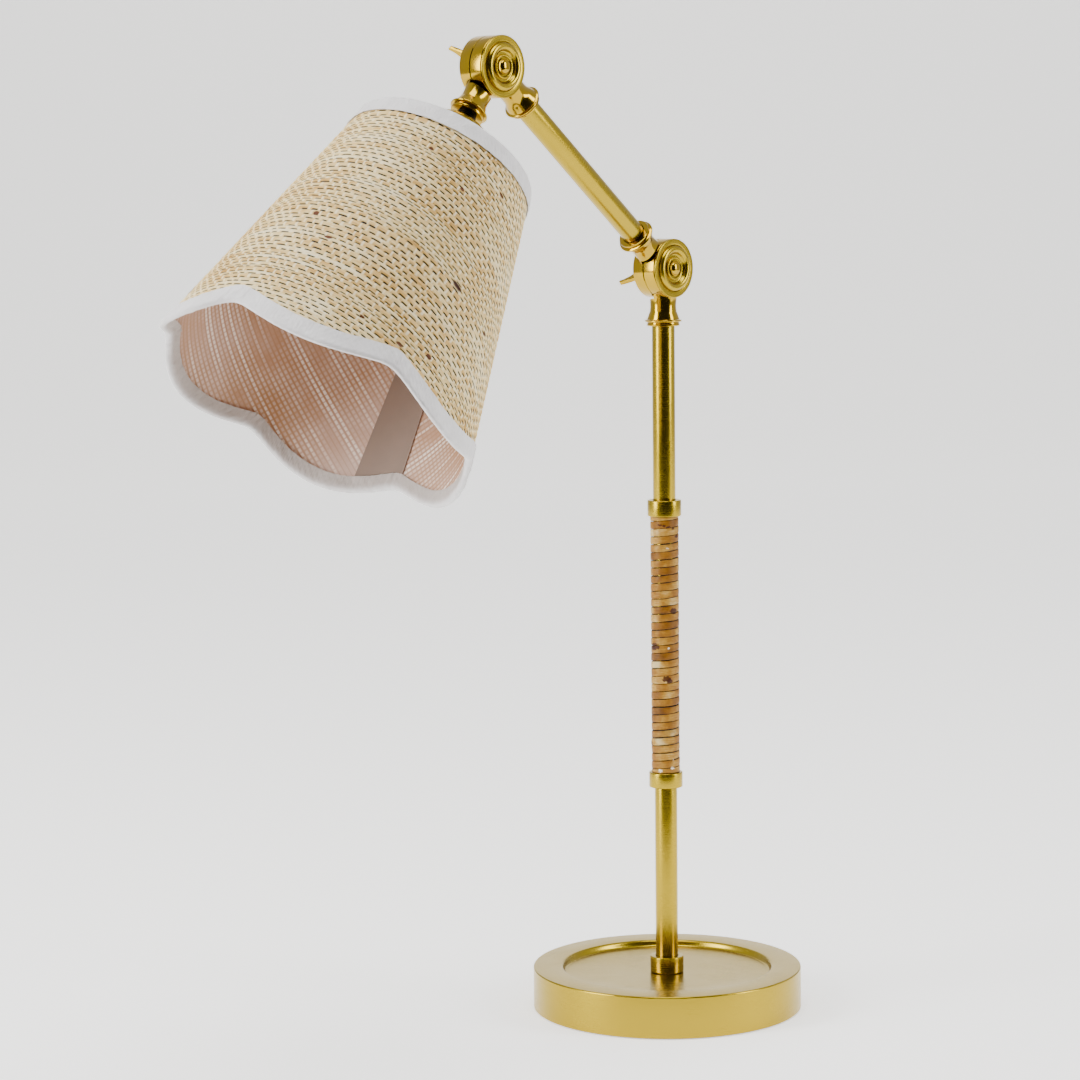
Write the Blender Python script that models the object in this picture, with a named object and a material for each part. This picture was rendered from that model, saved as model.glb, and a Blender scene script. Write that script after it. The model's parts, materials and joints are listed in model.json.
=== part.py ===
"""Swing arm desk lamp: weighted base, rattan wrapped pole, two wing nut elbows and a scalloped shade.

The origin is the centre of the base's underside, +Z is up, and the arm swings in the XZ plane towards -X.
The elbow pivots run along Y, with their capped faces towards -Y and their wing nuts towards +Y.
All sizes are in metres.
"""

import bpy
import bmesh
from math import cos, pi, radians, sin, sqrt
from mathutils import Matrix, Vector

# ---------------------------------------------------------------- driving sizes
GAP = 0.0003                      # clearance between pieces that touch
TUBE_RADIUS = 0.00635             # half inch tube
TUBE_BORE = 0.00535
SLEEVE_BORE = 0.00665             # fits over the tube
STUD_RADIUS = 0.0050              # M10 lamp nipple
STUD_BORE = 0.0035
LEAD_RADIUS = 0.0017
LEAD_BORE = 0.0026                # the lead's way through an elbow's neck
TUBE_EDGE = 0.0002                # bevel at the tubes' ends
COUPLER_REACH = 0.0125            # how far a coupler goes into each tube

BASE_STUD_TOP = 0.0340
INLET_HEIGHT = 0.0090             # the mains lead's hole in the base wall
INLET_RADIUS = 0.0042
BASE_RADIUS = 0.0762              # six inch base
BASE_HEIGHT = 0.0240
BASE_WALL = 0.0013
DISH_RADIUS = 0.0608
DISH_FLOOR = 0.0200
FELT_HEIGHT = 0.0018

COLLAR_RADIUS = 0.0095
COLLAR_TOP = 0.0294
LOWER_FERRULE_BOTTOM = 0.1270
LOWER_FERRULE_TOP = 0.1356
UPPER_FERRULE_BOTTOM = 0.2813
UPPER_FERRULE_TOP = 0.2903
WRAP_RADIUS = 0.0080

ELBOW_HEIGHT = 0.4200             # lower pivot above the table
ARM_LENGTH = 0.1757               # pivot to pivot
ARM_TILT = radians(51.9)          # from upright, towards -X
HEAD_TILT = radians(38.3)         # from straight down, towards -X

DISC_RADIUS = 0.0164
FRONT_FACE = 0.0071               # outer face of a front half, before its cap
FRONT_RIM = -0.00055              # where the front half's rim ends
BACK_RIM = -0.00085
BACK_FACE = -0.0082
CAP_FACE = 0.0084
BOLT_RADIUS = 0.0029
BOLT_HOLE = 0.0032
BOSS_RADIUS = 0.0060
BOSS_RECESS = 0.0006
CUP_RADIUS = 0.0136
CUP_FLOOR = 0.0020

NECK_END = 0.0321                 # measured from the pivot along the neck
FLANGE_PLACE = 0.0292
FLANGE_RADIUS = 0.0104
NECK_RING_RADIUS = 0.00915
NECK_WAIST = 0.00725
SOCKET_DEPTH = 0.0065             # how far a tube goes into a neck

WING_REACH = 0.0142
WING_DEPTH = 0.0148
WING_THICKNESS = 0.0022
LOWER_WING_TURN = radians(-39.0)  # rise of a wing above level, at rest
UPPER_WING_TURN = radians(54.0)

SHADE_TOP_DROP = 0.0595           # from the upper pivot, along the head
SHADE_NOTCH_DROP = 0.2118
SCALLOP_DEPTH = 0.0094
SCALLOP_COUNT = 6
SCALLOP_TURN = radians(7.4)       # direction of a notch
SHADE_TOP_RADIUS = 0.0495
SHADE_SLOPE = 0.2307              # radius gained per unit of drop
TRIM_THICKNESS = 0.0006
TRIM_WIDTH = 0.0100
TRIM_INNER_WIDTH = 0.0080
SKIN_THICKNESS = 0.0008
LINER_THICKNESS = 0.0004
STEPS_PER_SCALLOP = 12
SEAM_START = radians(5.0)
SEAM_END = radians(24.5)

CUP_TOP_DROP = 0.0380             # lamp holder, measured like the shade
CUP_MOUTH_DROP = 0.0600
HOLDER_TOP_DROP = 0.0470
HOLDER_END_DROP = 0.0980
HOLDER_SEAT_DROP = 0.0680
SHOULDER_DROP = 0.0720
RING_DROP = 0.0760
HOLDER_RADIUS = 0.0198
HOLDER_NECK_RADIUS = 0.0175
BULB_RADIUS = 0.0225
BULB_TIP_DROP = 0.1482
BULB_CAP_RADIUS = 0.0131
KNOB_DROP = 0.0660


# ---------------------------------------------------------------- materials
def make_material(name, colour, roughness, metallic):
    made = bpy.data.materials.new(name)
    made.use_nodes = True
    shader = made.node_tree.nodes["Principled BSDF"]
    shader.inputs["Base Color"].default_value = (*colour, 1.0)
    shader.inputs["Roughness"].default_value = roughness
    shader.inputs["Metallic"].default_value = metallic
    return made


# name: base colour, roughness, metallic
FINISHES = {
    "satin_brass": ((0.58, 0.42, 0.17), 0.32, 1.0),
    "plain_steel": ((0.55, 0.55, 0.56), 0.40, 1.0),
    "dark_steel": ((0.05, 0.045, 0.04), 0.45, 0.9),
    "cast_iron": ((0.08, 0.08, 0.08), 0.75, 0.6),
    "green_felt": ((0.06, 0.09, 0.06), 0.95, 0.0),
    "rattan": ((0.62, 0.40, 0.17), 0.50, 0.0),
    "raffia": ((0.70, 0.53, 0.30), 0.75, 0.0),
    "cotton_tape": ((0.83, 0.82, 0.82), 0.85, 0.0),
    "clear_film": ((0.60, 0.45, 0.36), 0.35, 0.0),
    "seam_tape": ((0.36, 0.29, 0.25), 0.60, 0.0),
    "phenolic": ((0.03, 0.03, 0.03), 0.40, 0.0),
    "opal_glass": ((0.90, 0.90, 0.87), 0.20, 0.0),
    "fibre": ((0.40, 0.22, 0.12), 0.70, 0.0),
    "lead_sleeve": ((0.75, 0.75, 0.72), 0.50, 0.0),
}


def finish(node, base):
    """A material of the node's own, made from one of the named finishes."""
    colour, roughness, metallic = FINISHES[base]
    return make_material(f"{node}_{base}", colour, roughness, metallic)


# ---------------------------------------------------------------- mesh helpers
def clear_scene():
    for old in list(bpy.data.objects):
        bpy.data.objects.remove(old, do_unlink=True)


def close_mesh(bm):
    bmesh.ops.remove_doubles(bm, verts=bm.verts, dist=1e-6)
    bmesh.ops.recalc_face_normals(bm, faces=bm.faces)


def add_object(name, bm, base, parent=None, place=None):
    """Turns bm into a named object at place, a matrix in its parent's frame."""
    mesh = bpy.data.meshes.new(name)
    bm.to_mesh(mesh)
    bm.free()
    mesh.shade_smooth()
    mesh.set_sharp_from_angle(angle=radians(35))
    made = bpy.data.objects.new(name, mesh)
    bpy.context.scene.collection.objects.link(made)
    if base:
        mesh.materials.append(finish(name, base))
    made.parent = parent
    made.matrix_local = place if place else Matrix.Identity(4)
    return made


def add_frame(name, location, tilt=0.0, parent=None):
    frame = bpy.data.objects.new(name, None)
    bpy.context.scene.collection.objects.link(frame)
    frame.parent = parent
    frame.location = location
    frame.rotation_euler = (0.0, tilt, 0.0)
    return frame


def hide_guide(guide):
    guide.hide_render = True
    guide.display_type = "WIRE"
    return guide


def arc(centre, radius, start, end, steps):
    """Points on an arc in the (radius, height) plane; angles in degrees."""
    points = []
    for i in range(steps + 1):
        angle = radians(start + (end - start) * i / steps)
        points.append((centre[0] + radius * cos(angle), centre[1] + radius * sin(angle)))
    return points


def bezier(start, control, end, steps):
    points = []
    for i in range(steps + 1):
        t = i / steps
        a, b, c = (1 - t) ** 2, 2 * t * (1 - t), t * t
        points.append(tuple(a * p + b * q + c * r for p, q, r in zip(start, control, end)))
    return points


def lathe(outline, steps=32, ring=True):
    """Turns an outline of (radius, height) points round Z.

    A ring outline closes on itself; otherwise both its ends lie on the axis.
    """
    bm = bmesh.new()
    verts = [bm.verts.new((max(r, 0.0), 0.0, z)) for r, z in outline]
    pairs = list(zip(verts, verts[1:]))
    if ring:
        pairs.append((verts[-1], verts[0]))
    edges = [bm.edges.new(pair) for pair in pairs]
    bmesh.ops.spin(bm, geom=verts + edges, cent=(0, 0, 0), axis=(0, 0, 1), dvec=(0, 0, 0),
                   angle=2 * pi, steps=steps, use_merge=True, use_duplicate=False)
    close_mesh(bm)
    return bm


def sleeve(inner, outer, bottom, top, edge=0.0003, steps=20):
    """A plain ring or tube with a small chamfer on its outer edges."""
    outline = [(inner, bottom), (outer - edge, bottom), (outer, bottom + edge),
               (outer, top - edge), (outer - edge, top), (inner, top)]
    return lathe(outline, steps)


def prism(outline, low, high):
    """Extrudes a flat outline of (x, y) points from z low to z high."""
    bm = bmesh.new()
    verts = [bm.verts.new((x, y, low)) for x, y in outline]
    face = bm.faces.new(verts)
    raised = bmesh.ops.extrude_face_region(bm, geom=[face])
    moved = [v for v in raised["geom"] if isinstance(v, bmesh.types.BMVert)]
    bmesh.ops.translate(bm, verts=moved, vec=(0, 0, high - low))
    close_mesh(bm)
    return bm


def box(low, high):
    bm = bmesh.new()
    size = [h - l for l, h in zip(low, high)]
    centre = [(h + l) / 2 for l, h in zip(low, high)]
    bmesh.ops.create_cube(bm, size=1.0)
    bmesh.ops.scale(bm, vec=size, verts=bm.verts)
    bmesh.ops.translate(bm, vec=centre, verts=bm.verts)
    return bm


def cut(target, cutter, operation="DIFFERENCE"):
    hide_guide(cutter)
    change = target.modifiers.new(cutter.name, "BOOLEAN")
    change.operation = operation
    change.solver = "EXACT"
    change.object = cutter


def hex_nut(across_flats, hole, bottom, top):
    """A hexagonal nut: a six sided ring joined to a round bore by its end faces."""
    corner = across_flats / 2 / cos(pi / 6)
    steps = 12
    bm = bmesh.new()
    rings = []
    for height in (bottom, top):
        outer, inner = [], []
        for i in range(steps):
            angle = 2 * pi * i / steps
            side = (angle % (pi / 3)) - pi / 6
            reach = corner * cos(pi / 6) / cos(side)
            outer.append(bm.verts.new((reach * cos(angle), reach * sin(angle), height)))
            inner.append(bm.verts.new((hole * cos(angle), hole * sin(angle), height)))
        rings.append((outer, inner))
    (low_out, low_in), (high_out, high_in) = rings
    for i in range(steps):
        j = (i + 1) % steps
        bm.faces.new((low_out[i], low_out[j], high_out[j], high_out[i]))
        bm.faces.new((low_in[j], low_in[i], high_in[i], high_in[j]))
        bm.faces.new((high_out[i], high_out[j], high_in[j], high_in[i]))
        bm.faces.new((low_in[i], low_in[j], low_out[j], low_out[i]))
    close_mesh(bm)
    return bm


TO_FRONT = Matrix.Rotation(pi / 2, 4, "X")         # turns +Z to -Y, the capped side


# ---------------------------------------------------------------- base
def build_base(stand):
    wall_in = BASE_RADIUS - BASE_WALL
    under = BASE_HEIGHT - BASE_WALL
    step_low = DISH_RADIUS - 0.0034
    outline = [(wall_in, 0.0006), (BASE_RADIUS, 0.0006)]
    outline += arc((BASE_RADIUS - 0.0009, BASE_HEIGHT - 0.0009), 0.0009, 0, 90, 2)
    outline += bezier((DISH_RADIUS, BASE_HEIGHT), (DISH_RADIUS - 0.0012, BASE_HEIGHT),
                      (DISH_RADIUS - 0.0018, BASE_HEIGHT - 0.0016), 3)
    outline += bezier((DISH_RADIUS - 0.0022, BASE_HEIGHT - 0.0024),
                      (DISH_RADIUS - 0.0028, DISH_FLOOR + 0.0008), (step_low, DISH_FLOOR + 0.0006), 2)
    outline += [(0.0120, DISH_FLOOR), (0.0053, DISH_FLOOR)]
    outline += [(0.0053, DISH_FLOOR - BASE_WALL), (step_low, DISH_FLOOR - BASE_WALL + 0.0004),
                (DISH_RADIUS + 0.0004, under), (wall_in, under)]
    shell = add_object("base_shell", lathe(outline, 40), "satin_brass", stand)

    weight_top = DISH_FLOOR - BASE_WALL - GAP
    weight_bottom = FELT_HEIGHT + GAP
    recess_roof = 0.0145
    outline = [(0.0055, recess_roof), (0.0170, recess_roof), (0.0170, weight_bottom),
               (wall_in - 0.0022, weight_bottom), (wall_in - 0.0010, weight_bottom + 0.0012),
               (wall_in - 0.0010, weight_top - 0.0010), (wall_in - 0.0020, weight_top),
               (0.0055, weight_top)]
    weight = add_object("base_weight", lathe(outline, 32), "cast_iron", stand)
    channel = add_object("channel_cutter", box((0.0120, -0.0065, 0.0), (0.0800, 0.0065, 0.0155)), None, stand)
    cut(weight, channel)

    felt_radius = wall_in - GAP - 0.0002
    outline = [(0.0, 0.0), (felt_radius, 0.0), (felt_radius, FELT_HEIGHT), (0.0, FELT_HEIGHT)]
    add_object("base_felt", lathe(outline, 32, ring=False), "green_felt", stand)

    washer_top = recess_roof - GAP
    washer_bottom = washer_top - 0.0010
    nut_top = washer_bottom - GAP
    nut_bottom = nut_top - 0.0035
    add_object("base_washer", sleeve(0.0054, 0.0150, washer_bottom, washer_top, 0.0002), "plain_steel", stand)
    add_object("base_lock_nut", hex_nut(0.0140, 0.0053, nut_bottom, nut_top), "plain_steel", stand)
    nipple = sleeve(STUD_BORE, STUD_RADIUS, nut_bottom - 0.0005, BASE_STUD_TOP)
    add_object("base_nipple", nipple, "plain_steel", stand)

    # the lead's inlet, in the wall at the back of the lamp
    inlet_place = Matrix.Translation((BASE_RADIUS, 0, INLET_HEIGHT)) @ Matrix.Rotation(pi / 2, 4, "Y")
    drill = lathe([(0.0, -0.01), (INLET_RADIUS, -0.01), (INLET_RADIUS, 0.01), (0.0, 0.01)], 20, False)
    cut(shell, add_object("inlet_cutter", drill, None, stand, inlet_place))
    inside = -BASE_WALL - GAP - 0.0002
    outside = GAP + 0.0001
    outline = [(0.0024, inside - 0.0012), (0.0050, inside - 0.0012), (0.0052, inside), (0.0038, inside),
               (0.0038, outside), (0.0055, outside), (0.0050, outside + 0.0014), (0.0034, outside + 0.0018),
               (0.0024, outside + 0.0018)]
    add_object("cord_bushing", lathe(outline, 16), "phenolic", stand, inlet_place)


# ---------------------------------------------------------------- pole
def build_pole(stand):
    socket_top = ELBOW_HEIGHT - NECK_END + SOCKET_DEPTH - GAP
    lower_joint = (LOWER_FERRULE_BOTTOM + LOWER_FERRULE_TOP) / 2
    upper_joint = (UPPER_FERRULE_BOTTOM + UPPER_FERRULE_TOP) / 2
    collar_bottom = DISH_FLOOR + GAP
    collar = sleeve(SLEEVE_BORE, COLLAR_RADIUS, collar_bottom, COLLAR_TOP)
    add_object("base_collar", collar, "satin_brass", stand)
    add_object("ferrule_lower", sleeve(SLEEVE_BORE, COLLAR_RADIUS, LOWER_FERRULE_BOTTOM, LOWER_FERRULE_TOP),
               "satin_brass", stand)
    add_object("ferrule_upper", sleeve(SLEEVE_BORE, COLLAR_RADIUS, UPPER_FERRULE_BOTTOM, UPPER_FERRULE_TOP),
               "satin_brass", stand)
    tubes = {
        "pole_lower_tube": (collar_bottom, lower_joint - GAP / 2),
        "pole_core_tube": (lower_joint + GAP / 2, upper_joint - GAP / 2),
        "pole_upper_tube": (upper_joint + GAP / 2, socket_top),
    }
    for name, (bottom, top) in tubes.items():
        add_object(name, sleeve(TUBE_BORE, TUBE_RADIUS, bottom, top, TUBE_EDGE), "satin_brass", stand)
    for name, middle in (("pole_coupler_lower", lower_joint), ("pole_coupler_upper", upper_joint)):
        coupler = sleeve(STUD_BORE, STUD_RADIUS, middle - COUPLER_REACH, middle + COUPLER_REACH)
        add_object(name, coupler, "plain_steel", stand)
    wrap = sleeve(SLEEVE_BORE, WRAP_RADIUS, LOWER_FERRULE_TOP + GAP, UPPER_FERRULE_BOTTOM - GAP, 0.0006, 24)
    add_object("rattan_wrap", wrap, "rattan", stand)


# ---------------------------------------------------------------- elbows
def neck_outline():
    """The turned neck from its tube end up to the disc, as (radius, distance below the pivot)."""
    bell_top = FLANGE_PLACE - 0.0010
    bell = bezier((FLANGE_RADIUS - 0.0010, bell_top), (NECK_WAIST + 0.0003, bell_top - 0.0020),
                  (NECK_WAIST, 0.0203), 3)
    return ([(0.0, NECK_END), (NECK_RING_RADIUS, NECK_END), (NECK_RING_RADIUS, FLANGE_PLACE + 0.0007),
             (FLANGE_RADIUS, FLANGE_PLACE + 0.0002), (FLANGE_RADIUS, FLANGE_PLACE - 0.0002)]
            + bell + [(0.0069, 0.0172), (0.0069, 0.0100), (0.0, 0.0100)])


def build_half(name, front, parent, place, socket_bore):
    """Half of an elbow: a hollow disc round the pivot with a neck pointing down its own -Z."""
    rim, face = (FRONT_RIM, FRONT_FACE) if front else (BACK_RIM, BACK_FACE)
    out = 1.0 if front else -1.0

    def at(distance):
        return rim + out * distance

    depth = abs(face - rim)
    outline = [(DISC_RADIUS - 0.0003, at(0)), (DISC_RADIUS, at(0.0003)), (DISC_RADIUS, at(depth - 0.0006)),
               (DISC_RADIUS - 0.0006, at(depth)), (BOLT_HOLE, at(depth)), (BOLT_HOLE, at(BOSS_RECESS)),
               (BOSS_RADIUS, at(BOSS_RECESS)), (BOSS_RADIUS, at(depth - CUP_FLOOR)),
               (CUP_RADIUS, at(depth - CUP_FLOOR)), (CUP_RADIUS, at(0))]
    disc = lathe(outline, 24)
    bmesh.ops.transform(disc, matrix=TO_FRONT, verts=disc.verts)
    half = add_object(name, disc, "satin_brass", parent, place)

    turned = lathe([(r, -d) for r, d in neck_outline()], 18, ring=False)
    neck = hide_guide(add_object(name + "_neck", turned, None, parent, place))
    # the neck stops inside this half's rim, and stands clear of the other half's
    step = rim + out * 0.0003
    hold, clear = DISC_RADIUS - 0.0013, DISC_RADIUS + 0.0019
    outline = [(0.0, out * 0.03), (hold, out * 0.03), (hold, step), (clear, step), (clear, -out * 0.03),
               (0.0, -out * 0.03)]
    round_off = lathe(outline, 24, ring=False)
    bmesh.ops.transform(round_off, matrix=TO_FRONT, verts=round_off.verts)
    cut(neck, add_object(name + "_round_cutter", round_off, None, parent, place))
    cut(half, neck, "UNION")

    socket_end = -NECK_END + SOCKET_DEPTH
    outline = [(0.0, -NECK_END - 0.002), (socket_bore, -NECK_END - 0.002), (socket_bore, socket_end),
               (LEAD_BORE, socket_end + 0.001), (LEAD_BORE, -0.0120), (0.0, -0.0120)]
    cut(half, add_object(name + "_bore_cutter", lathe(outline, 12, ring=False), None, parent, place))
    return half


def build_cap(name, parent, place):
    """The turned cap on an elbow's face: flat rim, round ring, recess and a small inner ring."""
    back = FRONT_FACE + GAP
    ring_middle, ring_half = 0.0106, 0.0019
    outline = [(BOLT_HOLE, back), (DISC_RADIUS, back),
               (DISC_RADIUS, CAP_FACE - 0.0003), (DISC_RADIUS - 0.0003, CAP_FACE),
               (ring_middle + ring_half + 0.0005, CAP_FACE), (ring_middle + ring_half, CAP_FACE - 0.0003)]
    outline += arc((ring_middle, CAP_FACE), ring_half, 0, 180, 4)
    outline += [(ring_middle - ring_half, CAP_FACE - 0.0002), (0.0066, CAP_FACE - 0.0002),
                (0.0063, CAP_FACE + 0.0010), (0.0055, CAP_FACE + 0.0010), (0.0050, CAP_FACE - 0.0002),
                (BOLT_HOLE, CAP_FACE - 0.0002)]
    cap = lathe(outline, 24)
    bmesh.ops.transform(cap, matrix=TO_FRONT, verts=cap.verts)
    return add_object(name, cap, "satin_brass", parent, place)


def build_bolt(name, parent, place):
    seat = CAP_FACE - 0.0002 + GAP
    tail = BACK_FACE - 0.0100
    dome = [(0.0, seat + 0.0024)]
    dome += bezier((0.0020, seat + 0.0022), (0.0042, seat + 0.0018), (0.0043, seat + 0.0004), 4)
    outline = dome + [(0.0043, seat), (BOLT_RADIUS, seat), (BOLT_RADIUS, tail + 0.0004),
                      (BOLT_RADIUS - 0.0004, tail), (0.0, tail)]
    bolt = lathe(outline, 16, ring=False)
    bmesh.ops.transform(bolt, matrix=TO_FRONT, verts=bolt.verts)
    return add_object(name, bolt, "satin_brass", parent, place)


def build_washer(name, parent, place):
    low = BACK_RIM - BOSS_RECESS + GAP
    high = FRONT_RIM + BOSS_RECESS - GAP
    washer = sleeve(BOLT_HOLE + 0.0002, BOSS_RADIUS + 0.0010, low, high, 0.0001)
    bmesh.ops.transform(washer, matrix=TO_FRONT, verts=washer.verts)
    return add_object(name, washer, "fibre", parent, place)


def build_wing_nut(name, parent, place, turn):
    """A hub behind the back half with two wings; turn is its first wing's rise above level."""
    base = -BACK_FACE + GAP
    outline = [(BOLT_HOLE, base), (0.0068, base), (0.0070, base + 0.0003), (0.0068, base + 0.0016),
               (0.0060, base + 0.0028), (0.0052, base + 0.0082), (0.0048, base + 0.0086),
               (BOLT_HOLE, base + 0.0086)]
    hub = lathe(outline, 20)
    bmesh.ops.transform(hub, matrix=Matrix.Rotation(-pi / 2, 4, "X"), verts=hub.verts)
    nut = add_object(name, hub, "satin_brass", parent, place)
    tip_reach, tip_depth = WING_REACH - 0.0008, base + WING_DEPTH - 0.0008
    low_tip = (tip_reach + 0.0007, tip_depth - 0.0003)
    high_tip = (tip_reach - 0.0005, tip_depth + 0.0006)
    edge_low = bezier((0.0042, base + 0.0020), (0.0100, base + 0.0030), low_tip, 5)
    edge_high = bezier(high_tip, (0.0080, base + 0.0110), (0.0042, base + 0.0072), 4)
    wing_outline = edge_low + [(tip_reach + 0.0004, tip_depth + 0.0006)] + edge_high
    # outline x runs out from the axis and outline y runs back along +Y
    for number in range(2):
        wing = prism(wing_outline, -WING_THICKNESS / 2, WING_THICKNESS / 2)
        aim = Matrix.Rotation(pi + turn + number * pi, 4, "Y")
        guide = add_object(f"{name}_wing_{number + 1}", wing, None, parent, place @ aim)
        cut(nut, guide, "UNION")
    return nut


def build_lower_elbow(stand, arm):
    at_elbow = Matrix.Translation((0, 0, ELBOW_HEIGHT))
    build_half("stand_elbow_half", True, stand, at_elbow, SLEEVE_BORE)
    build_cap("lower_elbow_cap", stand, at_elbow)
    build_bolt("lower_elbow_bolt", stand, at_elbow)
    build_washer("lower_elbow_washer", stand, at_elbow)
    upside_down = Matrix.Rotation(pi, 4, "Y")
    build_half("arm_elbow_half_lower", False, arm, upside_down, SLEEVE_BORE)
    pivot = add_frame("lower_wing_nut_pivot", (0, 0, ELBOW_HEIGHT), parent=stand)
    build_wing_nut("lower_wing_nut", pivot, Matrix.Identity(4), LOWER_WING_TURN)


def build_arm(arm):
    reach = NECK_END - SOCKET_DEPTH + GAP
    tube = sleeve(TUBE_BORE, TUBE_RADIUS, reach, ARM_LENGTH - reach, TUBE_EDGE)
    add_object("arm_tube", tube, "satin_brass", arm)


def build_upper_elbow(arm, head):
    at_end = Matrix.Translation((0, 0, ARM_LENGTH))
    build_half("arm_elbow_half_upper", True, arm, at_end, SLEEVE_BORE)
    build_cap("upper_elbow_cap", arm, at_end)
    build_bolt("upper_elbow_bolt", arm, at_end)
    build_washer("upper_elbow_washer", arm, at_end)
    build_half("head_elbow_half", False, head, Matrix.Identity(4), STUD_RADIUS + GAP)
    pivot = add_frame("upper_wing_nut_pivot", (0, 0, ARM_LENGTH), tilt=ARM_TILT, parent=arm)
    build_wing_nut("upper_wing_nut", pivot, Matrix.Identity(4), UPPER_WING_TURN)


# ---------------------------------------------------------------- lamp holder and bulb
def dropped(outline):
    """Turns (radius, drop below the upper pivot) points into (radius, height) in the head's frame."""
    return [(r, -drop) for r, drop in outline]


def build_holder(head):
    add_object("head_nipple", sleeve(STUD_BORE, STUD_RADIUS, -0.0448, -NECK_END + SOCKET_DEPTH - GAP),
               "dark_steel", head)
    dome = bezier((0.0090, CUP_TOP_DROP), (0.0190, CUP_TOP_DROP + 0.0010), (0.0196, CUP_TOP_DROP + 0.0100), 4)
    inner = [(r - 0.0012, d + 0.0011) for r, d in dome]
    outline = [(STUD_RADIUS + GAP, CUP_TOP_DROP)] + dome
    outline += [(0.0196, CUP_MOUTH_DROP), (0.0184, CUP_MOUTH_DROP)]
    outline += inner[::-1] + [(STUD_RADIUS + GAP, CUP_TOP_DROP + 0.0011)]
    add_object("holder_cup", lathe(dropped(outline), 24), "satin_brass", head)
    nut_top = CUP_TOP_DROP + 0.0011 + GAP + 0.0001
    lock_nut = hex_nut(0.0140, STUD_RADIUS + GAP, -nut_top - 0.0035, -nut_top)
    add_object("holder_lock_nut", lock_nut, "plain_steel", head)

    bulb_bore = 0.0146
    outline = [(STUD_BORE, HOLDER_TOP_DROP), (HOLDER_NECK_RADIUS - 0.0010, HOLDER_TOP_DROP),
               (HOLDER_NECK_RADIUS, HOLDER_TOP_DROP + 0.0010), (HOLDER_NECK_RADIUS, CUP_MOUTH_DROP + GAP),
               (HOLDER_RADIUS, CUP_MOUTH_DROP + GAP), (HOLDER_RADIUS, SHOULDER_DROP),
               (BULB_RADIUS, SHOULDER_DROP), (BULB_RADIUS, RING_DROP - GAP), (HOLDER_RADIUS, RING_DROP - GAP),
               (HOLDER_RADIUS, HOLDER_END_DROP - 0.0005), (HOLDER_RADIUS - 0.0005, HOLDER_END_DROP),
               (bulb_bore, HOLDER_END_DROP), (bulb_bore, HOLDER_SEAT_DROP), (STUD_BORE, HOLDER_SEAT_DROP)]
    body = add_object("holder_body", lathe(dropped(outline), 24), "phenolic", head)
    to_back = Matrix.Translation((0, 0, -KNOB_DROP)) @ Matrix.Rotation(-pi / 2, 4, "X")
    shaft_hole = lathe([(0.0, 0.0130), (0.0023, 0.0130), (0.0023, 0.0300), (0.0, 0.0300)], 16, False)
    cut(body, add_object("knob_shaft_cutter", shaft_hole, None, head, to_back))

    add_object("holder_screw_shell", sleeve(0.0136, 0.0142, -0.0920, -HOLDER_SEAT_DROP - 0.0005, 0.0001, 24),
               "satin_brass", head)
    outline = [(0.0, HOLDER_SEAT_DROP + 0.0015), (0.0045, HOLDER_SEAT_DROP + 0.0015),
               (0.0045, HOLDER_SEAT_DROP + 0.0004), (0.0, HOLDER_SEAT_DROP + 0.0004)]
    add_object("holder_contact", lathe(dropped(outline), 16, False), "satin_brass", head)
    outline = [(HOLDER_RADIUS + GAP, RING_DROP + 0.0019), (0.0235, RING_DROP + 0.0019),
               (0.0240, RING_DROP + 0.0024), (0.0240, RING_DROP + 0.0075), (0.0235, RING_DROP + 0.0080),
               (HOLDER_RADIUS + GAP, RING_DROP + 0.0080)]
    add_object("shade_retaining_ring", lathe(dropped(outline), 24), "phenolic", head)

    knob_pivot = add_frame("switch_knob_pivot", (0, 0, -KNOB_DROP), parent=head)
    outline = [(0.0, 0.0135), (0.0020, 0.0135), (0.0020, 0.0232), (0.0054, 0.0232), (0.0060, 0.0238),
               (0.0054, 0.0325), (0.0046, 0.0332), (0.0, 0.0332)]
    knob = lathe(outline, 20, ring=False)
    bmesh.ops.transform(knob, matrix=Matrix.Rotation(-pi / 2, 4, "X"), verts=knob.verts)
    add_object("switch_knob", knob, "phenolic", knob_pivot)


def build_bulb(head):
    tip = HOLDER_SEAT_DROP + 0.0015 + GAP
    outline = [(0.0, tip), (0.0040, tip), (0.0048, tip + 0.0012), (0.0090, tip + 0.0022),
               (BULB_CAP_RADIUS, tip + 0.0045), (BULB_CAP_RADIUS, 0.0955), (0.0120, 0.0968), (0.0, 0.0968)]
    add_object("bulb_cap", lathe(dropped(outline), 20, False), "plain_steel", head)
    neck_radius = 0.0118
    centre = BULB_TIP_DROP - BULB_RADIUS
    globe = arc((0.0, centre), BULB_RADIUS, 90, -34, 9)
    outline = [(0.0, 0.0971), (neck_radius, 0.0971), (neck_radius + 0.0004, 0.1010)] + globe[::-1][1:-1]
    outline += [(0.0, BULB_TIP_DROP)]
    add_object("bulb_globe", lathe(dropped(outline), 24, False), "opal_glass", head)


# ---------------------------------------------------------------- shade
def cone_radius(drop):
    """Outer radius of the shade's tape at a drop below the upper pivot."""
    return SHADE_TOP_RADIUS + SHADE_SLOPE * (drop - SHADE_TOP_DROP)


def edge_drop(angle):
    """Drop of the scalloped lower edge at an angle round the shade."""
    softness = 0.2
    wave = sqrt(sin(SCALLOP_COUNT / 2 * (angle - SCALLOP_TURN)) ** 2 + softness ** 2) - softness
    return SHADE_NOTCH_DROP + SCALLOP_DEPTH * wave / (sqrt(1 + softness ** 2) - softness)


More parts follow.
